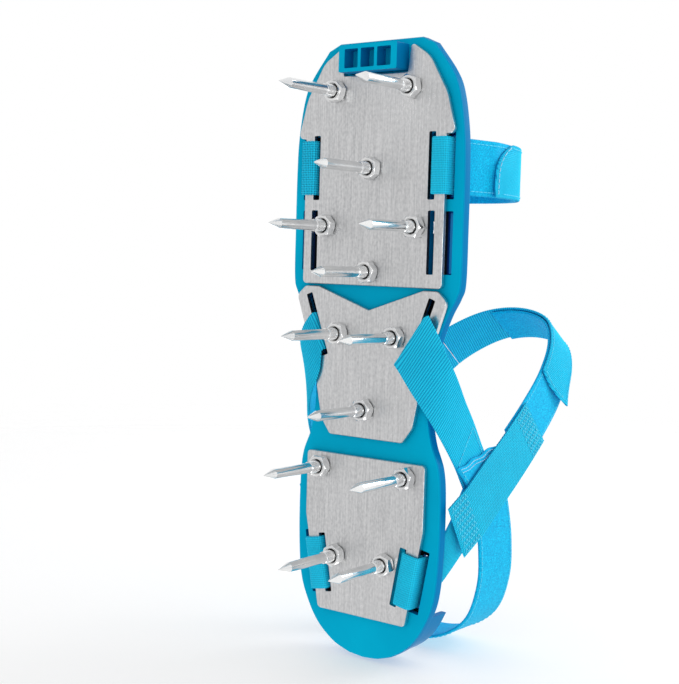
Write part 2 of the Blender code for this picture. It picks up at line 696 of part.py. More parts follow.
# Outer side, given at +X: from the slot straight out over the plate's waist.
MID_LATERAL_START = [
    ((33.5, -18.6, 44.3), (27.0, -0.6, 44.3)),
    ((34.1, -18.1, 43.6), (27.2, 0.4, 43.5)),
]
MID_LATERAL_CLIMB = [
    ((36.0, -16.0, 43.3), (27.5, 4.5, 43.3)),
    ((38.8, -12.0, 43.3), (28.2, 10.0, 43.3)),
    ((41.6, -6.8, 44.9), (30.4, 15.6, 43.4)),
    ((43.6, -0.6, 48.2), (33.8, 21.5, 44.4)),
    ((44.6, 8.5, 54.5), (37.4, 31.0, 47.0)),
    ((44.4, 20, 63.5), (40.8, 41.5, 53.0)),
    ((44.0, 30, 72), (42.5, 52.0, 60.2)),
    ((43.0, 41, 81), (42.6, 62.0, 67.0)),
    ((42.5, 47.5, 86.3), (42.9, 67.5, 71.2)),
]
MID_BUNCHED_FRONT = -6.0 * MM       # toe-side edge in the slot, where the webbing is bunched


def make_mid_strap(side, label, start, climb):
    """Model the strap that comes out of a mid slot and climbs to the ankle."""
    rear = SIDE_WEB_WIDTH / 2
    rows = []
    for height in (POCKET_CEILING_Z - 0.9 * MM, PLATE_FACE_Z + 0.7 * MM):
        rows.append((slot_point(MID_SLOT, 1, 0, MID_BUNCHED_FRONT, height),
                     slot_point(MID_SLOT, 1, 0, rear, height)))
    rows += [row_mm(front, back) for front, back in start]
    rows += smooth_rows([row_mm(front, back) for front, back in climb])
    strip(f"mid_strap_{label}", mirror_rows(rows, side), WEB_BLUE)


# Heel webbing above the slit: out over the footbed's edge, then up to the quarter strap.
HEEL_CLIMB_ROWS = [
    ((34.6, 92.6, 55.0), (31.0, 118.5, 54.9)),
    ((37.6, 88.4, 55.6), (34.6, 113.9, 55.3)),
    ((40.4, 82.0, 57.0), (38.2, 107.4, 58.4)),
    ((42.0, 74.5, 61.0), (40.6, 98.5, 66.5)),
    ((41.0, 67.0, 67.5), (41.2, 89.0, 78.6)),
    ((39.8, 62.5, 73.0), (40.9, 83.5, 85.6)),
]


def make_heel_webbing(side, label):
    """Model the webbing sewn around a heel plate bar, rising to the quarter strap."""
    half = SIDE_WEB_WIDTH / 2
    rows = []
    for out, height in bar_wrap(HEEL_BAR_WIDTH, SEWN_END_RISE)[:-1]:
        rows.append((slot_point(HEEL_SLOT, 1, out, -half, height),
                     slot_point(HEEL_SLOT, 1, out, half, height)))
    outside = rows[-1]
    for height in (POCKET_CEILING_Z, FOOTBED_Z + 0.2 * MM):
        rows.append(tuple(Vector((point.x, point.y, height)) for point in outside))
    rows += smooth_rows([row_mm(front, back) for front, back in HEEL_CLIMB_ROWS])
    strip(f"heel_webbing_{label}", mirror_rows(rows, side), WEB_BLUE)


# Instep line from the top centre down the inner side: (x, y, z, lean of the row).
INSTEP_LINE = [
    (0, -9, 196, 58), (19, -5.5, 191, 57), (32, 5, 174, 54), (38.2, 20, 154, 49),
    (41.0, 35, 132, 44), (42.4, 50, 109, 39), (43.0, 66, 84, 34), (43.2, 85, 56, 31),
]
# Places along the instep line, negative on the outer side.
QUARTER_LOW = 0.985
QUARTER_HIGH = 0.58
BAND_LOW = 0.70
BAND_END = -0.10
HOOK_ROOT = -0.68
HOOK_BEND = -0.30                   # where the hook strap's free part starts to bend open
HOOK_BEND_GAP = 0.004
HOOK_END = 0.45
BAND_NARROWING = 1.0 * MM


def instep_point(u):
    """Return the instep line's (x, y, z, lean) at u, from 0 (top) to 1 (low end)."""
    points = [Vector(values) for values in INSTEP_LINE]
    over_top = [Vector((-p.x, p.y, p.z, p.w)) for p in points[1:2]]
    padded = [*over_top, *points, points[-1] * 2 - points[-2]]
    place_on = u * (len(points) - 1)
    index = min(int(place_on), len(points) - 2)
    t = place_on - index
    a, b, c, d = padded[index:index + 4]
    return (b * 2 + (c - a) * t + (a * 2 - b * 5 + c * 4 - d) * t * t
            + (b * 3 - a - c * 3 + d) * t * t * t) / 2


def instep_row(u, off, width):
    """Return a row at u (negative on the outer side), moved outward by off."""
    here = instep_point(abs(u))
    ahead = instep_point(min(abs(u) + 0.01, 1.0)) - instep_point(max(abs(u) - 0.01, 0.0))
    if abs(u) < 0.01:
        ahead = Vector((1, 0, 0, 0))
    lean = math.radians(here.w)
    across_row = Vector((0, math.cos(lean), math.sin(lean)))
    outward = across_row.cross(ahead.xyz).normalized()
    if outward.dot(Vector((here.x, 0, 40))) < 0:
        outward = -outward
    centre = here.xyz * MM + outward * off
    row = (centre - across_row * width / 2, centre + across_row * width / 2)
    if u < 0:
        row = (Vector((-row[0].x, row[0].y, row[0].z)), Vector((-row[1].x, row[1].y, row[1].z)))
    return row


def instep_rows(start, end, offsets, width=INSTEP_WIDTH, steps=12):
    """Return rows from u = start to end, with offsets spread evenly between."""
    rows = []
    for step in range(steps + 1):
        share = step / steps
        spot = share * (len(offsets) - 1)
        index = min(int(spot), len(offsets) - 2)
        off = offsets[index] + (offsets[index + 1] - offsets[index]) * (spot - index)
        rows.append(instep_row(start + (end - start) * share, off, width))
    return rows


def make_instep_straps():
    """Model the quarter straps, the loop band and the hook strap over the instep."""
    outer = 2 * LAYER
    low_offsets = [LAYER, outer, outer, outer, outer, outer, outer]
    for side, label in ((1, "medial"), (-1, "lateral")):
        rows = instep_rows(QUARTER_LOW * side, QUARTER_HIGH * side, low_offsets)
        strip(f"quarter_strap_{label}", rows, WEB_BLUE)
    band = instep_rows(BAND_LOW, BAND_END, [LAYER, LAYER], INSTEP_WIDTH - BAND_NARROWING, 16)
    strip("instep_loop_band", band, LOOP_BLUE)
    root_offsets = [outer + LAYER, outer + LAYER, outer, outer]
    root = instep_rows(HOOK_ROOT, HOOK_BEND - HOOK_BEND_GAP, root_offsets)
    strip("instep_hook_root", root, WEB_BLUE)
    low = instep_row(HOOK_BEND, outer + WEB_THICKNESS / 2, INSTEP_WIDTH)
    origin = (low[0] + low[1]) / 2
    flap = instep_rows(HOOK_BEND, HOOK_END, [outer, outer], steps=22)
    strip("instep_hook_strap", flap, WEB_BLUE, origin=origin)


# Heel band from its inner end to the back of the heel: (lower edge, upper edge) rows.
HEEL_BAND_ROWS = [
    ((44.9, 52.0, 57.5), (44.3, 43.2, 92.8)),
    ((44.9, 65.4, 70.7), (44.5, 60.6, 101.3)),
    ((44.6, 80.4, 77.1), (44.6, 77.6, 107.9)),
    ((43.3, 96.5, 83.0), (43.3, 95.5, 114.0)),
    ((41.2, 114, 86.0), (41.2, 114, 117.0)),
    ((34.6, 132, 86.5), (34.6, 132, 117.5)),
    ((20, 143.2, 86.5), (20, 143.2, 117.5)),
    ((0, 147.2, 86.5), (0, 147.2, 117.5)),
]


def make_heel_band():
    """Model the padded band around the back of the heel, ending under the quarter straps."""
    medial = [row_mm(low, high) for low, high in HEEL_BAND_ROWS]
    lateral = [tuple(Vector((-p.x, p.y, p.z)) for p in row) for row in reversed(medial[:-1])]
    strip("heel_band", smooth_rows([*medial, *lateral], 2), LOOP_BLUE)


make_hole_cutters()
make_sole()
make_plate("toe_plate", TOE_PLATE_HALF, [TOE_SLOT, SPARE_SLOT])
make_plate("mid_plate", MID_PLATE_HALF, [MID_SLOT])
make_plate("heel_plate", HEEL_PLATE_HALF, [HEEL_SLOT])
make_spikes()
make_toe_straps()
make_mid_strap(1, "medial", MID_MEDIAL_START, MID_MEDIAL_CLIMB)
make_mid_strap(-1, "lateral", MID_LATERAL_START, MID_LATERAL_CLIMB)
make_heel_webbing(1, "medial")
make_heel_webbing(-1, "lateral")
make_instep_straps()
make_heel_band()
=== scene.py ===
import math
import random

import bmesh
import bpy
import numpy as np
from mathutils import Matrix, Vector


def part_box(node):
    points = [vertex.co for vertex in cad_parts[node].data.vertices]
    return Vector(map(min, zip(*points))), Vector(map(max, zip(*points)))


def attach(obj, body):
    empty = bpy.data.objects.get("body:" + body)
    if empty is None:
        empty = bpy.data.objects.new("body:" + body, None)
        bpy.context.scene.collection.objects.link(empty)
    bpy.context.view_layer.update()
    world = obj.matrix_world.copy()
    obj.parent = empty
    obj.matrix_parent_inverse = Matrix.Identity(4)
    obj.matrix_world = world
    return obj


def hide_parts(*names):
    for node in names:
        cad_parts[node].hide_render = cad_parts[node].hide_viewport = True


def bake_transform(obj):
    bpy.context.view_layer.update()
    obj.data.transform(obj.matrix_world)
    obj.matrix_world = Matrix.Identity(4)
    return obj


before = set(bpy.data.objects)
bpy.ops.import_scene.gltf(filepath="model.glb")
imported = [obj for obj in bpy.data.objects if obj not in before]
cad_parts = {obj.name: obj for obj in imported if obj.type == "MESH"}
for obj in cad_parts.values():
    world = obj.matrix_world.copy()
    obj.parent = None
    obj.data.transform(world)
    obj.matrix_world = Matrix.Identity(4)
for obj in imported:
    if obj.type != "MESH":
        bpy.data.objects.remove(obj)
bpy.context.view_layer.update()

# ---------------------------------------------------------------- sizes
MM = 0.001
GAP = 0.3 * MM
PLATE_FACE_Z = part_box("toe_plate")[0].z
PLATE_TOP_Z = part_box("toe_plate")[1].z
RIM_Z = PLATE_TOP_Z + 1.1 * MM
FOOTBED_Z = RIM_Z + 6.0 * MM
TOE_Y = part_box("sole")[0].y
HEEL_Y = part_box("sole")[1].y
SOLE_HALF_OUTLINE = [
    (31, 3), (41.5, 16.5), (46, 27), (49, 45), (49.8, 63), (49.9, 90), (49.7, 114),
    (47.6, 121.5), (43, 130), (38, 143), (34.6, 160), (34, 176), (36.4, 190),
    (41, 202), (42.5, 216), (42.5, 242), (40.6, 264), (35.6, 277.5), (28.5, 288),
    (18.5, 295.6), (8.5, 299.2),
]
SPIKE_ROWS = [
    (22.1, 23.5), (0, 61.0), (26.3, 88.5), (0, 110.3), (16.9, 140.9), (0, 176.9),
    (25.5, 207.2), (14.9, 250.3),
]
TOE_PLATE_HALF = [
    (18.7, 16.2, 0.6), (20.3, 2.6, 1.6), (31.0, 9.5, 14), (41.0, 26.5, 20), (46.3, 45.4, 2.5),
    (41.4, 45.9, 0.8), (41.4, 117.0, 2.2),
]
MID_PLATE_HALF = [
    (0, 128.7, 0), (31.0, 118.2, 3), (39.5, 118.2, 3.5), (44.6, 123.0, 3.5), (39.4, 138.0, 3),
    (29.2, 147.5, 4), (29.4, 155.0, 5), (31.4, 164.5, 8), (27.4, 183.5, 5), (21.8, 191.0, 2.2),
]
HEEL_PLATE_HALF = [(35.4, 200.3, 2.0), (35.4, 232.0, 6), (26.4, 279.0, 2.2)]
TOE_SEAT_HALF = [(16.0, 19.0, 1), (29.0, 14.0, 8), (39.0, 30.0, 8), (39.0, 114.5, 2)]
MID_SEAT_HALF = [
    (0, 131.5, 0), (31.5, 121.0, 2), (40.0, 121.0, 2), (36.5, 137.0, 2), (26.5, 148.5, 3),
    (26.5, 162.0, 8), (23.5, 186.5, 2),
]
HEEL_SEAT_HALF = [(33.0, 203.0, 2), (33.0, 231.5, 4), (24.0, 276.5, 2)]
SLOT_WIDTH = 3.8 * MM
TOE_SLOT = (34.0, 60.1, 31.4, 0)
SPARE_SLOT = (34.6, 95.7, 29.7, 0)
MID_SLOT = (31.2, 137.0, 32.0, 20)
HEEL_SLOT = (22.2, 255.4, 29.3, 10.4)
TOE_BAR_WIDTH = 5.5 * MM
HEEL_BAR_WIDTH = 6.5 * MM
POCKET_CEILING_Z = RIM_Z + 3.5 * MM
SOLE_POCKETS = [
    (38.2, 60.1, 12.8, 31.0, 0), (38.2, 95.7, 12.8, 29.4, 0), (31.2, 137.0, 8.4, 33.0, 20),
    (28.4, 256.0, 13.4, 31.5, 10.4),
]
SOLE_SLITS = [
    (42.75, 60.1, 3.6, 28.4, 0), (42.75, 95.7, 3.6, 28.4, 0), (31.55, 257.1, 3.8, 26.8, 10.4),
]

BOLT_HOLE_RADIUS = 3.35 * MM
HEAD_RECESS = 2.9 * MM
HEAD_RECESS_RADIUS = 6.2 * MM
THREAD_PITCH = 1.0 * MM
THREAD_RADIUS = 3.05 * MM
THREAD_TOP_Z = 38.5 * MM
THREAD_LOW_Z = 33.6 * MM
LIP_HEIGHT = 12.5 * MM
LIP_FRONT_Y = 124 * MM

WEB_THICKNESS = 1.5 * MM
LAYER = WEB_THICKNESS + 0.4 * MM
STRAP_STEP = 0.36 * MM
SEWN_END_RISE = 2.6 * MM
TOE_WEB_WIDTH = 26.4 * MM
SIDE_WEB_WIDTH = 26.0 * MM
INSTEP_WIDTH = 30.0 * MM
HEEL_BAND_WIDTH = 31.0 * MM
TOE_STRAP_Y = TOE_Y + 60.1 * MM
ARCH_HALF_WIDTH = 47.5 * MM
ARCH_HEIGHT = 82.0 * MM
ARCH_POWER = 2.5
RING_WIRE_RADIUS = 1.5 * MM
RING_LOOSENESS = 1.2 * MM
RING_BAR_SPACING = 11.0 * MM
RING_LOWER_HEIGHT = 41.0 * MM
RING_LENGTH = 31.5 * MM
UPPER_BAR_HEIGHT = RING_LOWER_HEIGHT + RING_BAR_SPACING
TAIL_HINGE_HEIGHT = UPPER_BAR_HEIGHT + 13 * MM
ARCH_STEPS = 40


# ---------------------------------------------------------------- material nodes
class Graph:
    """A Principled material and short ways to add nodes to it."""

    def __init__(self, name, roughness, metallic=0.0, **plain):
        self.material = bpy.data.materials.new(name)
        self.material.use_nodes = True
        self.nodes = self.material.node_tree.nodes
        self.links = self.material.node_tree.links
        self.shader = self.nodes["Principled BSDF"]
        self.shader.inputs["Roughness"].default_value = roughness
        self.shader.inputs["Metallic"].default_value = metallic
        for socket, value in plain.items():
            self.shader.inputs[socket.replace("_", " ")].default_value = value

    def put(self, socket, value):
        if isinstance(value, bpy.types.NodeSocket):
            self.links.new(value, socket)
        else:
            socket.default_value = value

    def math(self, operation, first, second=0.0):
        node = self.nodes.new("ShaderNodeMath")
        node.operation = operation
        self.put(node.inputs[0], first)
        self.put(node.inputs[1], second)
        return node.outputs[0]

    def times(self, first, second):
        return self.math("MULTIPLY", first, second)

    def plus(self, first, second):
        return self.math("ADD", first, second)

    def range(self, value, low, high, to_low=0.0, to_high=1.0):
        node = self.nodes.new("ShaderNodeMapRange")
        self.put(node.inputs["Value"], value)
        limits = {"From Min": low, "From Max": high, "To Min": to_low, "To Max": to_high}
        for socket, number in limits.items():
            node.inputs[socket].default_value = number
        return node.outputs["Result"]

    def noise(self, scale, stretch=(1, 1, 1), detail=3.0, source="Object"):
        where = self.nodes.new("ShaderNodeTexCoord")
        mapping = self.nodes.new("ShaderNodeMapping")
        mapping.inputs["Scale"].default_value = stretch
        texture = self.nodes.new("ShaderNodeTexNoise")
        texture.inputs["Scale"].default_value = scale
        texture.inputs["Detail"].default_value = detail
        self.links.new(where.outputs[source], mapping.inputs["Vector"])
        self.links.new(mapping.outputs[0], texture.inputs["Vector"])
        return texture.outputs["Fac"]

    def blend(self, share, first, second):
        node = self.nodes.new("ShaderNodeMix")
        node.data_type = "RGBA"
        self.put(node.inputs["Factor"], share)
        for socket, value in (("A", first), ("B", second)):
            socket = [s for s in node.inputs if s.name == socket and s.type == "RGBA"][0]
            self.put(socket, value if isinstance(value, bpy.types.NodeSocket) else (*value, 1.0))
        return [s for s in node.outputs if s.type == "RGBA"][0]

    def bump(self, height, strength, distance, below=None):
        node = self.nodes.new("ShaderNodeBump")
        node.inputs["Strength"].default_value = strength
        node.inputs["Distance"].default_value = distance
        self.links.new(height, node.inputs["Height"])
        if below is not None:
            self.links.new(below, node.inputs["Normal"])
        return node.outputs["Normal"]

    def finish(self, colour=None, roughness=None, normal=None):
        for socket, value in (("Base Color", colour), ("Roughness", roughness), ("Normal", normal)):
            if value is not None:
                self.put(self.shader.inputs[socket], value)
        return self.material


# ---------------------------------------------------------------- camera, light, stage
def make_camera():
    data = bpy.data.cameras.new("camera")
    data.sensor_width = 36.0
    data.lens = 68.42
    data.clip_start = 0.05
    data.clip_end = 20.0
    camera = bpy.data.objects.new("camera", data)
    bpy.context.scene.collection.objects.link(camera)
    right = Vector((0.790, -0.028, 0.613)).normalized()
    back = Vector((0.610, -0.068, -0.789))
    back = (back - right * back.dot(right)).normalized()
    up = back.cross(right)
    turn = Matrix((right, up, back)).transposed().to_4x4()
    camera.matrix_world = Matrix.Translation((0.3719, -0.0482, -0.4586)) @ turn
    bpy.context.scene.camera = camera


def make_world():
    """A white studio with grey bands below the horizon, for the polished undersides to mirror."""
    world = bpy.data.worlds.new("studio")
    bpy.context.scene.world = world
    world.use_nodes = True
    nodes, links = world.node_tree.nodes, world.node_tree.links
    background = nodes["Background"]
    where = nodes.new("ShaderNodeTexCoord")
    split = nodes.new("ShaderNodeSeparateXYZ")
    links.new(where.outputs["Generated"], split.inputs[0])
    ramp = nodes.new("ShaderNodeValToRGB")
    shift = nodes.new("ShaderNodeMapRange")
    shift.inputs["From Min"].default_value = -1.0
    shift.inputs["From Max"].default_value = 1.0
    links.new(split.outputs["Z"], shift.inputs["Value"])
    links.new(shift.outputs["Result"], ramp.inputs["Fac"])
    stops = ramp.color_ramp.elements
    stops[0].position, stops[0].color = 0.0, (0.66, 0.66, 0.665, 1)
    stops[1].position, stops[1].color = 0.62, (1.0, 1.0, 1.0, 1)
    for position, grey in ((0.12, 0.80), (0.24, 0.84), (0.36, 0.42), (0.44, 0.55), (0.50, 1.0)):
        stop = stops.new(position)
        stop.color = (grey, grey, grey * 1.01, 1)
    links.new(ramp.outputs["Color"], background.inputs["Color"])
    background.inputs["Strength"].default_value = 1.0


def area_light(name, place, target, size, power):
    data = bpy.data.lights.new(name, "AREA")
    data.shape = "DISK"
    data.size = size
    data.energy = power
    light = bpy.data.objects.new(name, data)
    light.location = place
    away = Vector(place) - Vector(target)
    light.rotation_euler = away.to_track_quat("Z", "Y").to_euler()
    bpy.context.scene.collection.objects.link(light)


def stage_plane(name, centre, along, across, size, rings):
    """A one-sided pale plane that lets the lamps behind it through and fades out between two rings.

    It glows faintly, so that shadows on it stay light.
    """
    mesh = bpy.data.meshes.new(name)
    along, across, centre = Vector(along), Vector(across), Vector(centre)
    signs = ((-1, -1), (1, -1), (1, 1), (-1, 1))
    corners = [centre + along * a * size + across * b * size for a, b in signs]
    mesh.from_pydata(corners, [], [(0, 1, 2, 3)])
    obj = bpy.data.objects.new(name, mesh)
    bpy.context.scene.collection.objects.link(obj)
    g = Graph(name, 0.6, Base_Color=(0.56, 0.56, 0.56, 1), Emission_Color=(1, 1, 1, 1),
              Emission_Strength=0.42)
    geometry = g.nodes.new("ShaderNodeNewGeometry")
    offset = g.nodes.new("ShaderNodeVectorMath")
    offset.operation = "DISTANCE"
    offset.inputs[1].default_value = centre
    g.put(offset.inputs[0], geometry.outputs["Position"])
    fade = g.range(offset.outputs["Value"], *rings)
    fade.node.interpolation_type = "SMOOTHSTEP"
    mix = g.nodes.new("ShaderNodeMixShader")
    g.put(mix.inputs["Fac"], g.math("MAXIMUM", fade, geometry.outputs["Backfacing"]))
    g.put(mix.inputs[1], g.shader.outputs[0])
    g.put(mix.inputs[2], g.nodes.new("ShaderNodeBsdfTransparent").outputs[0])
    g.put(g.nodes["Material Output"].inputs["Surface"], mix.outputs[0])
    mesh.materials.append(g.material)
    obj.visible_diffuse = False
    obj.visible_glossy = False
    obj.visible_transmission = False
    obj.visible_shadow = False


make_camera()
make_world()
bpy.context.scene.view_settings.view_transform = "Standard"
stage_plane("floor", (0, 0, -0.0002), (1, 0, 0), (0, 1, 0), 3.0, (1.2, 2.8))
stage_plane("heel_backdrop", (0, HEEL_Y + 1.2 * MM, 0.05), (1, 0, 0), (0, 0, 1), 2.0, (0.45, 1.1))
area_light("key_below", (1.05, 0.1, -0.75), (0, 0, 0.05), 0.45, 1.9)
area_light("rim_below", (0.2, 1.3, -0.5), (0, 0, 0.05), 0.6, 2.0)
area_light("key_above", (0.6, -0.5, 1.0), (0, 0, 0.08), 0.7, 6.0)
area_light("fill_above", (-0.8, 0.5, 0.8), (0, 0, 0.08), 0.9, 2.0)


# ---------------------------------------------------------------- materials
# Weaves: yarn spacing across, period along, stagger between neighbouring yarns, relief.
BASKET = (1.15 * MM, 2.10 * MM, math.pi, 0.14 * MM)
RIBS = (0.87 * MM, 1.35 * MM, 0.5, 0.13 * MM)
FINE_RIBS = (1.05 * MM, 1.50 * MM, math.pi, 0.10 * MM)
PILE = (1.04 * MM, 1.60 * MM, math.pi, 0.05 * MM)


def webbing_material(name, weave, bright, dark, shade):
    """Plain-woven yarn: warp and weft pass over each other, with painted light on the crowns and painted
    shade in the gaps.

    shade is the yarn height below which the gaps are painted dark, and above which the crowns are painted
    bright.
    """
    pitch_across, pitch_along, stagger, _ = weave
    g = Graph(name, 0.75, Specular_IOR_Level=0.12)
    uv = g.nodes.new("ShaderNodeUVMap")
    uv.uv_map = "weave"
    split = g.nodes.new("ShaderNodeSeparateXYZ")
    g.links.new(uv.outputs[0], split.inputs[0])
    across = g.math("DIVIDE", split.outputs["X"], pitch_across)
    along = g.math("DIVIDE", split.outputs["Y"], pitch_along)
    yarn = g.math("FLOOR", across)
    phase = g.plus(g.times(along, 2 * math.pi), g.times(yarn, stagger))
    wave = g.math("COSINE", phase)
    side = g.math("SUBTRACT", g.times(g.math("FRACT", across), 2.0), 1.0)
    warp_round = g.math("SUBTRACT", 1.0, g.times(g.times(side, side), 0.85))
    cell = g.math("FRACT", g.plus(g.times(along, 2.0), 0.5))
    end = g.math("SUBTRACT", g.times(cell, 2.0), 1.0)
    weft_round = g.math("SUBTRACT", 1.0, g.times(g.times(end, end), 0.85))
    warp = g.times(g.range(wave, -0.6, 0.6), warp_round)
    weft = g.times(g.range(wave, 0.6, -0.6), weft_round)
    weave = g.math("MAXIMUM", warp, weft)
    fibre = g.noise(4200, detail=2.0)
    height = g.plus(weave, g.times(fibre, 0.5))
    patchy = g.noise(60, detail=4.0)
    if stagger < 1:
        rib = g.times(g.plus(wave, 1.0), 0.5)
        weave = g.times(rib, g.range(warp_round, 0.15, 1.0, 0.72, 1.0))
        height = g.plus(weave, g.times(fibre, 0.5))
    # Painted light and shade: the colour runs from dark in the gaps to bright on the crowns by yarn height.
    colour = g.blend(g.range(weave, *shade), dark, bright)
    colour = g.blend(g.range(patchy, 0.3, 0.75, 0.0, 0.15), colour, dark)
    colour = g.blend(g.range(fibre, 0.60, 0.8, 0.0, 0.30), colour, (0.30, 0.78, 0.98))
    rough = g.range(weave, 0.0, 1.0, 0.9, 0.6)
    return g.finish(colour, rough, g.bump(height, 0.9, 0.2 * MM))


def pile_material(name, bright, dark):
    """Brushed loop pile: a dense matte mat of fine loops."""
    g = Graph(name, 0.9, Sheen_Weight=0.08, Sheen_Roughness=0.5, Specular_IOR_Level=0.08)
    loops = g.noise(1500, detail=4.0)
    tufts = g.noise(420, detail=3.0)
    height = g.plus(loops, g.times(tufts, 0.7))
    colour = g.blend(g.range(loops, 0.38, 0.62), dark, bright)
    colour = g.blend(g.range(tufts, 0.35, 0.7, 0.0, 0.3), colour, dark)
    return g.finish(colour, g.range(loops, 0.3, 0.7, 1.0, 0.8), g.bump(height, 0.9, 0.25 * MM))


def thread_material(name, colour):
    g = Graph(name, 0.6, Specular_IOR_Level=0.2)
    twist = g.noise(3600, detail=1.0)
    return g.finish(g.blend(g.range(twist, 0.4, 0.6, 0.0, 0.30), colour, (0.02, 0.50, 0.85)), None,
                    g.bump(twist, 0.4, 0.08 * MM))


def sole_material():
    """Injection-moulded polypropylene: smooth below, fine spark grain on the footbed, with painted shade on
    the side walls, the footbed top and inside the pockets.
    """
    g = Graph("moulded_blue", 0.45, Specular_IOR_Level=0.02)
    geometry = g.nodes.new("ShaderNodeNewGeometry")
    place = g.nodes.new("ShaderNodeSeparateXYZ")
    facing = g.nodes.new("ShaderNodeSeparateXYZ")
    g.links.new(geometry.outputs["Position"], place.inputs[0])
    g.links.new(geometry.outputs["True Normal"], facing.inputs[0])
    top = g.times(g.range(facing.outputs["Z"], 0.6, 0.9),
                 g.range(place.outputs["Z"], FOOTBED_Z - 1.2 * MM, FOOTBED_Z - 0.6 * MM))
    side = g.range(g.math("ABSOLUTE", facing.outputs["Z"]), 0.25, 0.75, 1.0, 0.0)
    cloud = g.noise(26, detail=4.0)
    grain = g.noise(2600, detail=2.0)
    colour = g.blend(g.range(cloud, 0.3, 0.7), (0.0, 0.400, 0.640), (0.0, 0.470, 0.720))
    # Painted shade: upright faces, the side walls, are darkened to a deep blue.
    colour = g.blend(g.times(side, 0.90), colour, (0.0, 0.170, 0.440))
    # Painted shade: the inner faces above the pockets in the sole are darkened to a deep blue.
    pocket_ceiling_shade = g.times(g.range(facing.outputs["Z"], -0.5, -0.8),
                     g.range(place.outputs["Z"], POCKET_CEILING_Z - 0.6 * MM, POCKET_CEILING_Z - 0.3 * MM))
    colour = g.blend(pocket_ceiling_shade, colour, (0.0, 0.055, 0.330))
    # Painted shadow: where the pockets lie behind the plate slots, that shade is near black.
    behind = g.range(g.math("ABSOLUTE", place.outputs["X"]), 39.5 * MM, 41.0 * MM, 1.0, 0.0)
    colour = g.blend(g.times(pocket_ceiling_shade, behind), colour, (0.004, 0.007, 0.012))
    # Partly painted shade and partly the grained deck's own deeper blue: the footbed top is darkened.
    colour = g.blend(g.times(top, 0.85), colour, (0.010, 0.125, 0.42))
    speck = g.times(top, g.range(grain, 0.55, 0.7, 0.0, 0.35))
    colour = g.blend(speck, colour, (0.10, 0.36, 0.68))
    rough = g.plus(g.range(cloud, 0.3, 0.7, 0.30, 0.40), g.times(top, 0.25))
    height = g.times(grain, g.plus(g.times(top, 0.85), 0.12))
    return g.finish(colour, rough, g.bump(height, 0.55, 0.15 * MM))


def plate_material():
    """Cold-rolled steel plate, grain along the foot."""
    g = Graph("rolled_steel", 0.38, 1.0, Anisotropic=0.5)
    fine = g.noise(1300, (1.0, 0.035, 1.0), 4.0)
    speckle = g.noise(900, (1.0, 0.6, 1.0), 3.0)
    cloud = g.noise(22, (1.0, 0.45, 1.0), 4.0)
    tone = g.plus(g.times(fine, 0.5), g.times(speckle, 0.5))
    colour = g.blend(g.range(tone, 0.38, 0.62), (0.56, 0.565, 0.57), (0.77, 0.77, 0.77))
    colour = g.blend(g.range(cloud, 0.35, 0.7, 0.0, 0.30), colour, (0.84, 0.84, 0.84))
    rough = g.plus(g.range(tone, 0.35, 0.65, 0.40, 0.27), g.range(cloud, 0.3, 0.7, 0.05, -0.03))
    axis = g.nodes.new("ShaderNodeCombineXYZ")
    axis.inputs["Y"].default_value = 1.0
    g.links.new(axis.outputs[0], g.shader.inputs["Tangent"])
    return g.finish(colour, rough, g.bump(fine, 0.12, 0.05 * MM))


def zinc_material(name, low=0.12, high=0.20):
    """Bright zinc plating with faint passivation clouds and draw marks."""
    g = Graph(name, 0.2, 0.94)
    cloud = g.noise(90, detail=2.0)
    marks = g.noise(1100, (1.0, 1.0, 0.02), 2.0)
    colour = g.blend(g.range(cloud, 0.3, 0.7), (0.74, 0.75, 0.76), (0.92, 0.92, 0.91))
    rough = g.plus(g.range(cloud, 0.3, 0.7, low, high), g.range(marks, 0.4, 0.7, 0.0, 0.08))
    return g.finish(colour, rough, g.bump(marks, 0.05, 0.05 * MM))


SKY = (0.012, 0.680, 0.980)
SKY_DARK = (0.000, 0.180, 0.430)
MATERIALS = {
    "sole": sole_material(),
    "plate": plate_material(),
    "zinc": zinc_material("zinc_plating"),
    "wire": zinc_material("ring_plating", 0.10, 0.20),
    "ribbed": webbing_material("webbing_ribbed", RIBS, SKY, SKY_DARK, (-0.15, 0.45)),
    "basket": webbing_material("webbing_basket", BASKET, SKY, (0.0, 0.08, 0.26), (0.18, 0.72)),
    "fine": webbing_material("webbing_fine", FINE_RIBS, SKY, (0.0, 0.17, 0.40), (0.0, 0.60)),
    "pile": pile_material("loop_pile", (0.0, 0.640, 0.970), (0.0, 0.36, 0.70)),
    "thread": thread_material("sewing_thread", (0.16, 0.82, 1.0)),
    "thread_light": thread_material("sewing_thread_light", (0.50, 0.82, 0.97)),
}


# ---------------------------------------------------------------- mesh helpers
def link_mesh(name, mesh, *materials):
    obj = bpy.data.objects.new(name, mesh)
    bpy.context.scene.collection.objects.link(obj)
    for material in materials:
        if material.name not in mesh.materials:
            mesh.materials.append(material)
    return obj


def baked_mesh(obj):
    """A copy of the object's mesh with its modifiers applied and its place worked in."""
    bpy.context.view_layer.update()
    graph = bpy.context.evaluated_depsgraph_get()
    mesh = bpy.data.meshes.new_from_object(obj.evaluated_get(graph))
    mesh.transform(obj.matrix_world)
    return mesh


def drop(*objects):
    for obj in objects:
        bpy.data.objects.remove(obj, do_unlink=True)


def from_toe(x, distance):
    return Vector((x * MM, TOE_Y + distance * MM))


def between(a, b, c, d, t):
    """A smooth curve through b and c, aimed by its neighbours a and d."""
    return (b * 2 + (c - a) * t + (a * 2 - b * 5 + c * 4 - d) * t * t
            + (b * 3 - a - c * 3 + d) * t * t * t) / 2


def catmull(points, steps):
    padded = [points[0] * 2 - points[1], *points, points[-1] * 2 - points[-2]]
    curve = []
    for a, b, c, d in zip(padded, padded[1:], padded[2:], padded[3:]):
        curve += [between(a, b, c, d, i / steps) for i in range(steps)]
    curve.append(points[-1].copy())
    return curve


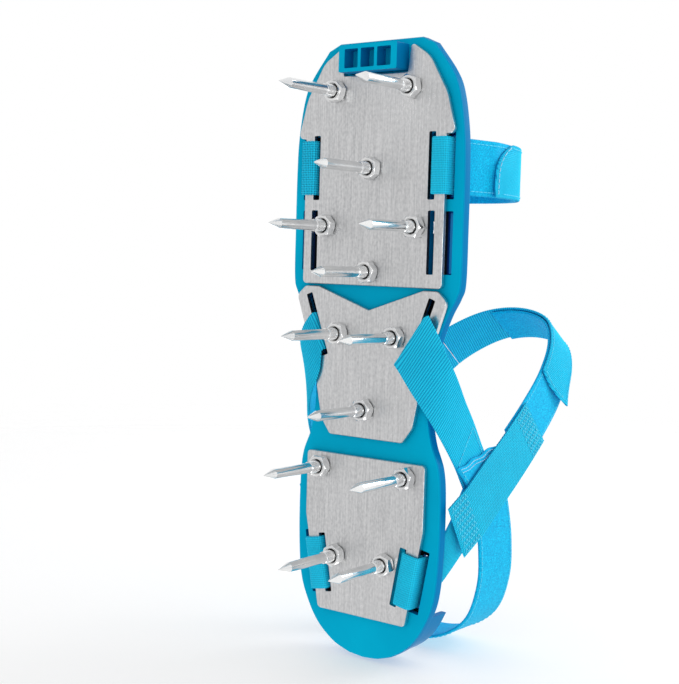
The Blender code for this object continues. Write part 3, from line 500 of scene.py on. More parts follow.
def rounded(corners, arc_steps=8):
    """Round each corner (x, y, radius) of a closed outline with an arc."""
    outline = []
    for i, (x, y, radius) in enumerate(corners):
        here = Vector((x, y))
        back = (Vector(corners[i - 1][:2]) - here).normalized()
        ahead = (Vector(corners[(i + 1) % len(corners)][:2]) - here).normalized()
        half_angle = back.angle(ahead) / 2
        if radius == 0 or half_angle > math.radians(89):
            outline.append(here)
            continue
        reach = radius / math.tan(half_angle)
        centre = here + (back + ahead).normalized() * radius / math.sin(half_angle)
        start = here + back * reach - centre
        sweep = start.angle_signed(here + ahead * reach - centre)
        for step in range(arc_steps + 1):
            outline.append(centre + Matrix.Rotation(-sweep * step / arc_steps, 2) @ start)
    return outline


def mirrored_corners(half):
    right = [(*from_toe(x, y), radius * MM) for x, y, radius in half]
    left = [(-x, y, radius) for x, y, radius in reversed(right) if x > 0]
    return [*right, *left]


def inset(outline, distance):
    area = sum(a.x * b.y - b.x * a.y for a, b in zip(outline, outline[1:] + outline[:1]))
    side = 1 if area > 0 else -1
    moved = []
    for i, here in enumerate(outline):
        along = (outline[(i + 1) % len(outline)] - outline[i - 1]).normalized()
        moved.append(here + Vector((-along.y, along.x)) * distance * side)
    return moved


def turn_outward(mesh):
    work = bmesh.new()
    work.from_mesh(mesh)
    bmesh.ops.recalc_face_normals(work, faces=work.faces)
    work.to_mesh(mesh)
    work.free()


def closed_mesh(name, points, faces):
    mesh = bpy.data.meshes.new(name)
    mesh.from_pydata(points, [], faces)
    turn_outward(mesh)
    return mesh


def loft(name, outline, levels):
    """A closed solid through copies of a flat outline; levels are (inset, height)."""
    points, faces = [], []
    count = len(outline)
    for distance, height in levels:
        points += [(p.x, p.y, height) for p in inset(outline, distance)]
    for level in range(len(levels) - 1):
        base = level * count
        for i in range(count):
            j = (i + 1) % count
            faces.append((base + i, base + j, base + count + j, base + count + i))
    faces.append(tuple(reversed(range(count))))
    faces.append(tuple(range((len(levels) - 1) * count, len(levels) * count)))
    return link_mesh(name, closed_mesh(name, points, faces))


def box(name, centre, size, turn=0.0, bevel=0.0):
    """A box with rounded upright edges, used to cut or join."""
    half = Vector(size) / 2
    corners = [(-half.x, -half.y, bevel), (half.x, -half.y, bevel), (half.x, half.y, bevel),
               (-half.x, half.y, bevel)]
    outline = rounded(corners, 3) if bevel else [Vector(c[:2]) for c in corners]
    obj = loft(name, outline, [(0, -half.z), (0, half.z)])
    obj.location = centre
    obj.rotation_euler.z = turn
    return obj


def lathe(name, profile, segments):
    """Turn (radius, height) points about Z into a closed solid; a third number is a thread's depth there."""
    points, faces, rings = [], [], []
    for radius, height, depth in [(*row, 0.0)[:3] for row in profile]:
        if radius == 0:
            rings.append([len(points)])
            points.append((0, 0, height))
            continue
        rings.append(list(range(len(points), len(points) + segments)))
        for i in range(segments):
            turn = (height / THREAD_PITCH + i / segments) % 1.0
            reach = radius - depth * (1 - abs(2 * turn - 1))
            angle = 2 * math.pi * i / segments
            points.append((reach * math.cos(angle), reach * math.sin(angle), height))
    for upper, lower in zip(rings, rings[1:]):
        for i in range(segments):
            j = (i + 1) % segments
            face = [upper[i % len(upper)], upper[j % len(upper)]]
            face += [lower[j % len(lower)], lower[i % len(lower)]]
            face = list(dict.fromkeys(face))
            if len(face) > 2:
                faces.append(face)
    return link_mesh(name, closed_mesh(name, points, faces))


def cut(obj, *cutters, operation="DIFFERENCE"):
    for cutter in cutters:
        modifier = obj.modifiers.new("cut", "BOOLEAN")
        modifier.operation = operation
        modifier.solver = "EXACT"
        modifier.object = cutter


def soften(obj, width, degrees):
    modifier = obj.modifiers.new("soft edges", "BEVEL")
    modifier.width = width
    modifier.segments = 2
    modifier.limit_method = "ANGLE"
    modifier.angle_limit = math.radians(degrees)


def settle(obj, name, material, degrees=30):
    """Swap a built object for its baked mesh, smooth shaded with sharp edges kept."""
    mesh = baked_mesh(obj)
    drop(obj)
    mesh.materials.clear()
    mesh.shade_smooth()
    mesh.set_sharp_from_angle(angle=math.radians(degrees))
    made = link_mesh(name, mesh, material)
    flats = made.modifiers.new("flat faces", "WEIGHTED_NORMAL")
    flats.weight = 100
    flats.keep_sharp = True
    even = baked_mesh(made)
    made.modifiers.clear()
    made.data = even
    return made


def finish_piece(obj, node, body):
    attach(obj, body)
    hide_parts(node)


# ---------------------------------------------------------------- sole
def spike_places():
    places = []
    for spacing, distance in SPIKE_ROWS:
        for side in ((1, -1) if spacing else (0,)):
            places.append(from_toe(spacing * side, distance))
    return places


def hole_cutters(profile):
    """One round cutter at every spike."""
    made = []
    for number, spot in enumerate(spike_places(), 1):
        obj = lathe(f"hole_{number}", profile, 28)
        obj.location = (spot.x, spot.y, 0)
        made.append(obj)
    return made


def opening_boxes(slots, low, high, width=None, corner=0.5 * MM):
    """Cutters on both sides for slots given as x, distance, (width,) length and turn."""
    made = []
    for slot in slots:
        x, distance = slot[:2]
        length, turn = slot[-2:]
        size = (width or slot[2] * MM, length * MM, high - low)
        for side in (1, -1):
            middle = from_toe(x * side, distance)
            centre = (middle.x, middle.y, (low + high) / 2)
            made.append(box("opening", centre, size, math.radians(turn) * side, corner))
    return made


def make_sole():
    half = [Vector((24.2 * MM, TOE_Y))] + catmull([from_toe(x, y) for x, y in SOLE_HALF_OUTLINE], 7)
    half.append(Vector((0, HEEL_Y)))
    outline = [*half, *[Vector((-p.x, p.y)) for p in reversed(half) if p.x > GAP]]
    sole = loft("sole_blank", outline, [
        (1.1 * MM, RIM_Z), (0.35 * MM, RIM_Z + 0.3 * MM), (0, RIM_Z + 1.0 * MM),
        (0, FOOTBED_Z - 1.0 * MM), (0.3 * MM, FOOTBED_Z - 0.3 * MM), (1.0 * MM, FOOTBED_Z),
    ])
    lip_top = FOOTBED_Z + LIP_HEIGHT
    lip = loft("lip_blank", inset(outline, 0.6 * MM), [
        (0, FOOTBED_Z - 2.4 * MM), (0, lip_top - 0.9 * MM), (0.25 * MM, lip_top - 0.25 * MM),
        (0.9 * MM, lip_top),
    ])
    core = loft("lip_core", inset(outline, 3.6 * MM), [
        (0, FOOTBED_Z - 4 * MM), (0, lip_top - 0.9 * MM), (-0.25 * MM, lip_top - 0.25 * MM),
        (-0.6 * MM, lip_top + 1 * MM),
    ])
    front = box("lip_front", (0, LIP_FRONT_Y - 150 * MM, FOOTBED_Z), (120 * MM, 300 * MM, 60 * MM))
    cut(lip, core, front)
    cut(sole, lip, operation="UNION")

    bumper_y = TOE_Y + 9.1 * MM
    bumper_size = (34 * MM, 12.6 * MM, 12 * MM)
    bumper = box("bumper", (0, bumper_y, RIM_Z - 4 * MM), bumper_size, 0, 0.8 * MM)
    cut(sole, bumper, operation="UNION")
    pocket_size = (7.9 * MM, 9 * MM, 8 * MM)
    pockets = [box("pocket", (i * 9.6 * MM, bumper_y, RIM_Z - 7 * MM), pocket_size, 0, 0.5 * MM)
               for i in (-1, 0, 1)]
    cut(sole, *pockets)
    seat_levels = [(0, PLATE_TOP_Z + GAP), (0, RIM_Z + 1.3 * MM)]
    seats = [loft("seat", rounded(mirrored_corners(half), 5), seat_levels)
             for half in (TOE_SEAT_HALF, MID_SEAT_HALF, HEEL_SEAT_HALF)]
    cut(sole, *seats, operation="UNION")
    openings = opening_boxes(SOLE_POCKETS, RIM_Z - 3 * MM, POCKET_CEILING_Z)
    openings += opening_boxes(SOLE_SLITS, RIM_Z - 3 * MM, FOOTBED_Z + 3 * MM)
    cut(sole, *openings)
    above, below = FOOTBED_Z + 2 * MM, RIM_Z - 3 * MM
    recess = FOOTBED_Z - HEAD_RECESS
    holes = hole_cutters([(0, above), (HEAD_RECESS_RADIUS, above), (HEAD_RECESS_RADIUS, recess),
                          (BOLT_HOLE_RADIUS, recess), (BOLT_HOLE_RADIUS, below), (0, below)])
    cut(sole, *holes)
    soften(sole, 0.35 * MM, 50)
    sole = settle(sole, "sole_moulding", MATERIALS["sole"])
    drop(lip, core, front, bumper, *pockets, *seats, *openings, *holes)
    finish_piece(sole, "sole", "sandal")


def make_plate(node, half, slots):
    outline = rounded(mirrored_corners(half))
    plate = loft(f"{node}_blank", outline, [
        (0.70 * MM, PLATE_FACE_Z), (0.30 * MM, PLATE_FACE_Z + 0.10 * MM),
        (0.08 * MM, PLATE_FACE_Z + 0.34 * MM),
        (0, PLATE_FACE_Z + 0.75 * MM),
        (0, PLATE_TOP_Z - 0.15 * MM), (0.15 * MM, PLATE_TOP_Z),
    ])
    slot_boxes = opening_boxes(slots, PLATE_FACE_Z - MM, PLATE_TOP_Z + MM, SLOT_WIDTH, 0.6 * MM)
    holes = hole_cutters([(0, PLATE_TOP_Z + MM), (BOLT_HOLE_RADIUS, PLATE_TOP_Z + MM),
                          (BOLT_HOLE_RADIUS, PLATE_FACE_Z - MM), (0, PLATE_FACE_Z - MM)])
    cut(plate, *slot_boxes, *holes)
    soften(plate, 0.22 * MM, 60)
    plate = settle(plate, f"{node}_panel", MATERIALS["plate"])
    drop(*slot_boxes, *holes)
    finish_piece(plate, node, "sandal")


# ---------------------------------------------------------------- spikes
def threaded_bolt():
    """A pan head screw: cross recess, rolled thread, plain shank and turned point."""
    seat = FOOTBED_Z - HEAD_RECESS + GAP
    head_top = seat + 2.4 * MM
    profile = [
        (0, head_top), (2.6 * MM, head_top - 0.12 * MM), (4.3 * MM, head_top - 0.55 * MM),
        (5.1 * MM, head_top - 1.2 * MM), (5.3 * MM, head_top - 1.7 * MM), (5.3 * MM, seat + 0.2 * MM),
        (5.1 * MM, seat), (3.0 * MM, seat), (3.0 * MM, THREAD_TOP_Z + 0.3 * MM),
    ]
    count = int((THREAD_TOP_Z - THREAD_LOW_Z) / (THREAD_PITCH / 6))
    for i in range(count + 1):
        height = THREAD_TOP_Z - (THREAD_TOP_Z - THREAD_LOW_Z) * i / count
        run_out = min(1.0, i / 4, (count - i) / 4 + 0.35)
        profile.append((THREAD_RADIUS, height, 0.38 * MM * run_out))
    profile += [
        (2.62 * MM, 33.3 * MM), (2.5 * MM, 32.6 * MM), (2.5 * MM, 20 * MM), (2.5 * MM, 7.3 * MM),
        (2.42 * MM, 6.9 * MM), (0.28 * MM, 0.35 * MM), (0, 0),
    ]
    bolt = lathe("bolt", profile, 32)
    bars = [box("cross", (0, 0, head_top), (5.6 * MM, 1.2 * MM, 3.0 * MM), turn, 0.3 * MM)
            for turn in (0, math.pi / 2)]
    cut(bolt, *bars)
    made = settle(bolt, "bolt_model", MATERIALS["zinc"], 32)
    drop(*bars)
    return made


def hex_nut():
    """A hex nut with chamfered corners, a washer face and a countersunk bore."""
    top = PLATE_FACE_Z - GAP
    low = top - 5.0 * MM
    across = 10.0 * MM
    radius = across / math.sqrt(3)
    corners = [(radius * math.cos(math.radians(60 * i)), radius * math.sin(math.radians(60 * i)), 0.25 * MM)
               for i in range(6)]
    nut = loft("nut_blank", rounded(corners, 3), [(0, low), (0, top)])
    shell = lathe("nut_shell", [
        (0, top + 0.02 * MM), (across / 2 - 0.15 * MM, top + 0.02 * MM),
        (across / 2 - 0.1 * MM, top - 0.35 * MM),
        (radius + 0.2 * MM, top - 1.0 * MM), (radius + 0.2 * MM, low + 1.0 * MM),
        (across / 2 - 0.35 * MM, low - 0.02 * MM), (0, low - 0.02 * MM),
    ], 48)
    cut(nut, shell, operation="INTERSECT")
    bore = lathe("nut_bore", [
        (0, top + MM), (3.4 * MM, top + MM), (3.4 * MM, low + 0.6 * MM), (4.0 * MM, low - 0.05 * MM),
        (4.0 * MM, low - MM), (0, low - MM),
    ], 32)
    cut(nut, bore)
    soften(nut, 0.12 * MM, 35)
    made = settle(nut, "nut_model", MATERIALS["zinc"], 35)
    drop(shell, bore)
    return made


def make_spikes():
    rng = random.Random(11)
    bolt, nut = threaded_bolt(), hex_nut()
    for number, spot in enumerate(spike_places(), 1):
        for model, name, node in ((bolt, "spike_screw", "spike_bolt"), (nut, "spike_hex_nut", "spike_nut")):
            mesh = model.data.copy()
            turn = Matrix.Rotation(rng.uniform(0, 6.28), 4, "Z")
            mesh.transform(Matrix.Translation((spot.x, spot.y, 0)) @ turn)
            piece = link_mesh(f"{name}_{number:02d}", mesh)
            finish_piece(piece, f"{node}_{number:02d}", "sandal")
    drop(bolt, nut)


# ---------------------------------------------------------------- webbing
def smooth_line(points, spacing):
    """Pass a centripetal curve through rows and cut it into even steps.

    Each row is six numbers: both edge points. Steps are measured along the middle.
    """
    rows = np.array(points, float)
    keep = [0]
    for i in range(1, len(rows)):
        if np.linalg.norm(rows[i] - rows[keep[-1]]) > 1e-6:
            keep.append(i)
    rows = rows[keep]
    rows = np.vstack([2 * rows[0] - rows[1], rows, 2 * rows[-1] - rows[-2]])
    middle = (rows[:, :3] + rows[:, 3:]) / 2
    reach = np.maximum(np.linalg.norm(np.diff(middle, axis=0), axis=1), 1e-6)
    knots = np.concatenate([[0], np.cumsum(reach ** 0.5)])
    dense = []
    for i in range(1, len(rows) - 2):
        t0, t1, t2, t3 = knots[i - 1:i + 3]
        p0, p1, p2, p3 = rows[i - 1:i + 3]
        for t in np.linspace(t1, t2, 14, endpoint=False):
            a1 = ((t1 - t) * p0 + (t - t0) * p1) / (t1 - t0)
            a2 = ((t2 - t) * p1 + (t - t1) * p2) / (t2 - t1)
            a3 = ((t3 - t) * p2 + (t - t2) * p3) / (t3 - t2)
            b1 = ((t2 - t) * a1 + (t - t0) * a2) / (t2 - t0)
            b2 = ((t3 - t) * a2 + (t - t1) * a3) / (t3 - t1)
            dense.append(((t2 - t) * b1 + (t - t1) * b2) / (t2 - t1))
    dense.append(rows[-2])
    dense = np.array(dense)
    middle = (dense[:, :3] + dense[:, 3:]) / 2
    run = np.concatenate([[0], np.cumsum(np.linalg.norm(np.diff(middle, axis=0), axis=1))])
    count = max(2, int(round(run[-1] / spacing)))
    even = np.linspace(0, run[-1], count + 1)
    return np.stack([np.interp(even, run, dense[:, k]) for k in range(6)], axis=1), even


def yarn_tube(bent):
    """Points of a thread along a bent line, and its two end faces."""
    tube = []
    for i, spot in enumerate(bent):
        along = bent[min(i + 1, len(bent) - 1)] - bent[max(i - 1, 0)]
        along /= np.linalg.norm(along)
        side = np.cross(along, (0.31, 0.57, 0.76))
        side /= np.linalg.norm(side)
        other = np.cross(along, side)
        for k in range(YARN_SIDES):
            turn = 2 * math.pi * k / YARN_SIDES
            tube.append(tuple(spot + YARN_RADIUS * (side * math.cos(turn) + other * math.sin(turn))))
    last = (len(bent) - 1) * YARN_SIDES
    return tube, [tuple(reversed(range(YARN_SIDES))), tuple(range(last, last + YARN_SIDES))]


def yarn_sides(rings):
    faces = []
    for base in range(0, (rings - 1) * YARN_SIDES, YARN_SIDES):
        for k in range(YARN_SIDES):
            m = (k + 1) % YARN_SIDES
            faces.append((base + k, base + m, base + YARN_SIDES + m, base + YARN_SIDES + k))
    return faces


# Selvage: share of the width from the middle, and share of the full thickness there.
SELVAGE = [(0.5, 0.35), (0.492, 0.8), (0.476, 1.0)]
EDGE_SHARE = 0.045
# A stitch: share of its length, and height above the cloth in millimetres.
STITCH_RISE = [(0, -0.10), (0.2, 0.10), (0.5, 0.16), (0.8, 0.10), (1, -0.10)]
YARN_RADIUS = 0.2 * MM
YARN_SIDES = 5
THREAD, LIGHT_THREAD, WOVEN_ROOT = 1, 2, 3


class Strap:
    """A woven or brushed strap as a thin closed grid, with places on it for stitching.

    rows are pairs of edge points, and inside is a point on the side of the foot. start and end say how
    far each end is drawn in at a share of the width; that fades out over the fade length. lift raises the
    strap off what it lies on, and root is the length at the start that is woven instead of brushed.
    """

    def __init__(self, name, rows, width, inside, weave=BASKET, start=None, end=None, fade=22 * MM,
                 lift=None, root=0.0):
        self.name, self.width, self.threads = name, width, []
        line, self.run = smooth_line([[*a, *b] for a, b in rows], STRAP_STEP)
        self.length = float(self.run[-1])
        self.root = int(np.searchsorted(self.run, root))
        inner = np.arange(-0.5 + EDGE_SHARE, 0.5 - EDGE_SHARE + 1e-9, weave[0] / width)
        inner += (0.5 - EDGE_SHARE - inner[-1]) / 2
        edge_sides, edge_body = np.array(SELVAGE).T
        self.sides = np.concatenate([-edge_sides, inner, edge_sides[::-1]])
        self.places = self.drawn_in(start, end, fade)
        self.grid, self.normal, over = self.lay_out(line, inside, lift)
        self.weave_faces(weave, np.concatenate([edge_body, np.ones(len(inner)), edge_body[::-1]]), over)

    def drawn_in(self, start, end, fade):
        """The distance along at every grid point."""
        places = np.repeat(self.run[:, None], len(self.sides), axis=1)
        if end is not None:
            blend = np.clip((self.run - (self.length - fade)) / fade, 0, 1)[:, None]
            places = places - blend * np.array([end(s) for s in self.sides])[None, :]
        if start is not None:
            blend = np.clip((fade - self.run) / fade, 0, 1)[:, None]
            places = places + blend * np.array([start(s) for s in self.sides])[None, :]
        return places

    def lay_out(self, line, inside, lift):
        """The grid's middle surface, its outward normals and its directions across."""
        grid = np.zeros((len(self.run), len(self.sides), 3))
        for k in range(3):
            first = np.interp(self.places, self.run, line[:, k])
            second = np.interp(self.places, self.run, line[:, k + 3])
            grid[:, :, k] = first + (second - first) * (self.sides + 0.5)[None, :]
        over = np.gradient(grid, self.sides, axis=1)
        normal = np.cross(np.gradient(grid, axis=0), over)
        normal /= np.maximum(np.linalg.norm(normal, axis=2, keepdims=True), 1e-12)
        if (normal * (grid - np.array(inside))).sum() < 0:
            normal = -normal
        if lift is not None:
            rise = np.array([[lift(side, self.length - place) for side in self.sides] for place in self.run])
            grid = grid + normal * rise[:, :, None]
        return grid, normal, over

    def weave_faces(self, weave, body, over):
        """The two faces, with the yarns' crowns, a wavy selvage and thinner ends."""
        yarn, period, stagger, relief = weave
        turns = 2 * np.pi * self.places / period
        crowns = np.cos(turns + stagger * np.floor(self.sides * self.width / yarn)[None, :])
        crowns = relief * crowns * (body > 0.9)[None, :]
        ends = np.ones(len(self.run))
        ends[[0, -1]] = 0.45
        half = WEB_THICKNESS / 2 * body[None, :] * ends[:, None]
        edge = (body < 0.9)[None, :] * (0.5 * relief * np.cos(turns)) * np.sign(self.sides)[None, :]
        over_unit = over / np.maximum(np.linalg.norm(over, axis=2, keepdims=True), 1e-12)
        grid = self.grid + over_unit * edge[:, :, None]
        self.upper = grid + self.normal * (half + crowns - relief)[:, :, None]
        self.lower = grid - self.normal * (half - crowns - relief)[:, :, None]

    def at(self, across, along, lift):
        """The point at a share of the width and a distance along, lifted off the outer face."""
        row = np.interp(along, self.run, np.arange(len(self.run)))
        col = np.interp(across, self.sides, np.arange(len(self.sides)))
        i, j = min(int(row), len(self.run) - 2), min(int(col), len(self.sides) - 2)
        a, b = row - i, col - j
        found = []
        for grid in (self.grid, self.normal):
            near = grid[i, j] * (1 - b) + grid[i, j + 1] * b
            beyond = grid[i + 1, j] * (1 - b) + grid[i + 1, j + 1] * b
            found.append(near * (1 - a) + beyond * a)
        return found[0] + found[1] * (WEB_THICKNESS / 2 + lift)

    def sew(self, path, stitch, colour=THREAD):
        """Sew along a path of (share of width, distance along); each stitch is a bent thread."""
        legs = []
        for (s0, v0), (s1, v1) in zip(path, path[1:]):
            reach = math.hypot((s1 - s0) * self.width, v1 - v0)
            count = max(1, round(reach / stitch))
            for k in range(count):
                f, t = (k + 0.12) / count, (k + 0.88) / count
                start = (s0 + (s1 - s0) * f, v0 + (v1 - v0) * f)
                legs.append((start, (s0 + (s1 - s0) * t, v0 + (v1 - v0) * t)))
        for start, end in legs:
            bent = []
            for share, lift in STITCH_RISE:
                across = start[0] + (end[0] - start[0]) * share
                along = start[1] + (end[1] - start[1]) * share
                bent.append(self.at(across, along, lift * MM))
            self.threads.append((np.array(bent), colour))

    def sew_edges(self, share, start, end, stitch=3.0 * MM):
        """One row along each edge."""
        for side in (-share, share):
            self.sew([(side, start), (side, end)], stitch)

    def sew_across(self, share, along, stitch):
        """One straight row from edge to edge."""
        self.sew([(-share, along), (share, along)], stitch)

    def zigzag(self, share, reach, start, length, step):
        """A lengthwise zigzag row about a share of the width."""
        count = max(2, int(length / step))
        places = [start + length * k / count for k in range(count + 1)]
        self.sew([(share - reach if k % 2 else share + reach, v) for k, v in enumerate(places)], 1.6 * MM)

    def cloth_faces(self):
        """Corner numbers of the upper face, the lower face and the rim, and how many are in one face."""
        rows, cols = self.upper.shape[:2]
        size = rows * cols
        ids = np.arange(size).reshape(rows, cols)
        a, b, c, d = ids[:-1, :-1], ids[:-1, 1:], ids[1:, 1:], ids[1:, :-1]
        upper = np.stack([a, b, c, d], axis=2).reshape(-1, 4)
        lower = np.stack([d, c, b, a], axis=2).reshape(-1, 4) + size
        loop = [*ids[0, :], *ids[1:, -1], *ids[-1, -2::-1], *ids[-2:0:-1, 0]]
        rim = [(after, here, here + size, after + size) for here, after in zip(loop, loop[1:] + loop[:1])]
        return np.concatenate([upper, lower, np.array(rim)]), len(upper)

    def build(self, *materials):
        """Cloth and threads as one mesh, with flat cloth coordinates for the weave."""
        rows, cols = self.upper.shape[:2]
        faces, in_face = self.cloth_faces()
        slots = np.zeros(len(faces), int)
        if self.root:
            place = np.arange(2 * in_face) % in_face
            slots[:2 * in_face] = np.where(place < self.root * (cols - 1), WOVEN_ROOT, 0)
        across = np.repeat((self.sides * self.width)[None, :], rows, 0)
        flat = np.stack([across, self.places], axis=2).reshape(-1, 2)
        flat = list(map(tuple, np.concatenate([flat, flat])))
        points = list(map(tuple, np.concatenate([self.upper.reshape(-1, 3), self.lower.reshape(-1, 3)])))
        faces, slots = list(map(tuple, faces)), slots.tolist()
        for bent, colour in self.threads:
            tube, caps = yarn_tube(bent)
            faces += [tuple(len(points) + k for k in face) for face in [*yarn_sides(len(bent)), *caps]]
            slots += [colour] * (len(faces) - len(slots))
            points += tube
            flat += [(0.0, 0.0)] * len(tube)
        mesh = bpy.data.meshes.new(self.name)
        mesh.from_pydata(points, [], faces)
        mesh.polygons.foreach_set("material_index", slots)
        layer = mesh.uv_layers.new(name="weave")
        corner = np.zeros(len(mesh.loops), np.int32)
        mesh.loops.foreach_get("vertex_index", corner)
        layer.data.foreach_set("uv", np.array(flat, np.float32)[corner].ravel())
        turn_outward(mesh)
        mesh.shade_smooth()
        return link_mesh(self.name, mesh, *materials)


def finish_strap(strap, node, cloth, body="sandal", hinge=None):
    threads = [MATERIALS["thread"], MATERIALS["thread_light"]]
    if strap.root:
        threads.append(MATERIALS["fine"])
    piece = strap.build(MATERIALS[cloth], *(threads if strap.threads else []))
    if hinge is None:
        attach(piece, body)
    else:
        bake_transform(piece)
    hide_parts(node)


# ---------------------------------------------------------------- toe straps
def toe_arch(t, off):
    angle = math.pi * t
    side = math.copysign(1, math.cos(angle))
    power = 2 / ARCH_POWER
    x = ARCH_HALF_WIDTH * abs(math.cos(angle)) ** power
    z = ARCH_HEIGHT * math.sin(angle) ** power
    slope = Vector((x ** (ARCH_POWER - 1) / ARCH_HALF_WIDTH ** ARCH_POWER,
                    z ** (ARCH_POWER - 1) / ARCH_HEIGHT ** ARCH_POWER)).normalized()
    return Vector((side * (x + slope.x * off), FOOTBED_Z + z + slope.y * off))


def arch_place(height, off, side):
    angle = math.asin((height / ARCH_HEIGHT) ** (ARCH_POWER / 2))
    t = angle / math.pi
    if side < 0:
        t = 1 - t
    return toe_arch(t, off), t


def bar_wrap(bar_width, rise):
    half = WEB_THICKNESS / 2 + GAP
    inner = SLOT_WIDTH / 2 - half
    outer = SLOT_WIDTH / 2 + bar_width + half
    over = PLATE_TOP_Z + half
    under = PLATE_FACE_Z - half
    turn = 0.7 * MM
    sewn = outer - LAYER
    return [
        (sewn, over + rise), (sewn, over + 1.6 * MM), (sewn - 0.5 * MM, over + 0.5 * MM),
        (sewn - 1.6 * MM, over), (inner + turn, over), (inner, over - turn),
        (inner, under + turn), (inner + turn, under), (outer - turn, under),
        (outer, under + turn), (outer, over),
    ]


def ring_bars():
    off = WEB_THICKNESS + RING_LOOSENESS + RING_WIRE_RADIUS
    lower, _ = arch_place(RING_LOWER_HEIGHT, off, -1)
    upper, _ = arch_place(UPPER_BAR_HEIGHT, off, -1)
    return lower, lower + (upper - lower).normalized() * RING_BAR_SPACING


def around_bar(bar, start, end):
    reach = RING_WIRE_RADIUS + RING_LOOSENESS + WEB_THICKNESS / 2
    points = []
    for step in range(9):
        angle = math.radians(start + (end - start) * step / 8)
        points.append(bar + Vector((math.cos(angle), math.sin(angle))) * reach)
    return points


def slot_wrap():
    """(x, z) points around the toe plate's bar, and on up through the sole."""
    slot_x = TOE_SLOT[0] * MM
    wrap = [(slot_x + out, z) for out, z in bar_wrap(TOE_BAR_WIDTH, SEWN_END_RISE)]
    x, z = wrap[-1]
    stem = [Vector((x, z)), Vector((x + 0.4 * MM, FOOTBED_Z)), Vector((x + 2.4 * MM, FOOTBED_Z + 9 * MM))]
    return wrap[:-1], stem


def arch_run(first, last, off):
    return [toe_arch(first + (last - first) * i / ARCH_STEPS, off) for i in range(ARCH_STEPS + 1)]


def toe_band(name, path, **details):
    """A strap of the toe webbing's width that follows (x, z) points."""
    low, high = TOE_STRAP_Y - TOE_WEB_WIDTH / 2, TOE_STRAP_Y + TOE_WEB_WIDTH / 2
    rows = [(Vector((x, low, z)), Vector((x, high, z))) for x, z in path]
    return Strap(name, rows, TOE_WEB_WIDTH, (0, TOE_STRAP_Y, FOOTBED_Z + 30 * MM), **details)


def make_toe_strap():
    half = WEB_THICKNESS / 2
    wrap, stem = slot_wrap()
    _, ring_t = arch_place(UPPER_BAR_HEIGHT + 2 * MM, half, -1)
    over_toe = arch_run(0.075, ring_t, half)
    rise = catmull([*stem, *over_toe[:1]], 3)[:-1]
    fold = around_bar(ring_bars()[1], 14, -180)
    stub_low, _ = arch_place(UPPER_BAR_HEIGHT + 7 * MM, half + LAYER + MM, -1)
    stub_high, _ = arch_place(TAIL_HINGE_HEIGHT, half + LAYER, -1)
    path = wrap + [tuple(p) for p in rise + over_toe + fold + [stub_low, stub_high]]
    strap = toe_band("toe_strap_pile", path, weave=PILE, root=27 * MM)
    strap.sew_edges(0.42, 24 * MM, strap.length - 30 * MM)
    finish_strap(strap, "toe_strap", "pile")


def make_toe_tail():
    middle = WEB_THICKNESS / 2 + LAYER
    first = arch_place(TAIL_HINGE_HEIGHT, middle, -1)[1] - 0.0022
    strap = toe_band("toe_tail_woven", [tuple(p) for p in arch_run(first, 0.062, middle)], weave=RIBS,
                     end=lambda s: (0.5 - s) ** 4.5 * 21 * MM, fade=30 * MM)
    far = strap.length
    strap.sew_edges(0.43, 4 * MM, far - 8 * MM)
    strap.sew([(-0.45 + 0.1 * k, far - 2.2 * MM) for k in range(10)], 2.2 * MM, LIGHT_THREAD)
    hinge, _ = arch_place(TAIL_HINGE_HEIGHT, WEB_THICKNESS + LAYER, -1)
    beyond = toe_arch(first - 0.03, middle)
    bend = (Vector((hinge.x, TOE_STRAP_Y, hinge.y)), Vector((beyond.x, TOE_STRAP_Y, beyond.y)))
    finish_strap(strap, "toe_strap_tail", "ribbed", "toe_tail", bend)


def make_toe_anchor():
    half = WEB_THICKNESS / 2
    wrap, stem = slot_wrap()
    anchor = []
    for height, off, shift in ((9, LAYER, -2.2 * MM), (17, half + LAYER, 0), (26, half + LAYER, 0),
                               (33, half + LAYER + 1.6 * MM, 0)):
        spot, _ = arch_place(height * MM, off, 1)
        anchor.append(Vector((spot.x + shift, spot.y)))
    anchor = catmull([*stem[:2], *anchor], 3)
    lower_bar = ring_bars()[0]
    fold = around_bar(Vector((-lower_bar.x, lower_bar.y)), -14, 180)
    back = [arch_place(height * MM, half, 1)[0] for height in (37, 30, 23)]
    path = [(-x, z) for x, z in wrap + [tuple(p) for p in anchor + fold + back]]
    strap = toe_band("toe_anchor_woven", path)
    for along in (33, 36, 45, 48):
        strap.sew_across(0.45, along * MM, 2.2 * MM)
    finish_strap(strap, "toe_anchor_webbing", "basket")


def make_toe_ring():
    lower_bar, upper_bar = ring_bars()
    up = (upper_bar - lower_bar).normalized()
    long_half, short_half = RING_LENGTH / 2, RING_BAR_SPACING / 2
    signs = ((-1, -1), (1, -1), (1, 1), (-1, 1))
    loop = rounded([(x * long_half, y * short_half, 2.5 * MM) for x, y in signs], 8)
    curve = bpy.data.curves.new("ring", "CURVE")
    curve.dimensions = "3D"
    curve.bevel_depth = RING_WIRE_RADIUS
    curve.bevel_resolution = 5
    spline = curve.splines.new("POLY")
    spline.points.add(len(loop) - 1)
    for point, (along, height) in zip(spline.points, loop):
        lift = up * (height + short_half)
        point.co = (lower_bar.x + lift.x, TOE_STRAP_Y + along, lower_bar.y + lift.y, 1)
    spline.use_cyclic_u = True
    holder = bpy.data.objects.new("ring", curve)
    bpy.context.scene.collection.objects.link(holder)
    ring = settle(holder, "toe_ring_wire", MATERIALS["wire"], 60)
    finish_piece(ring, "toe_ring", "ring")


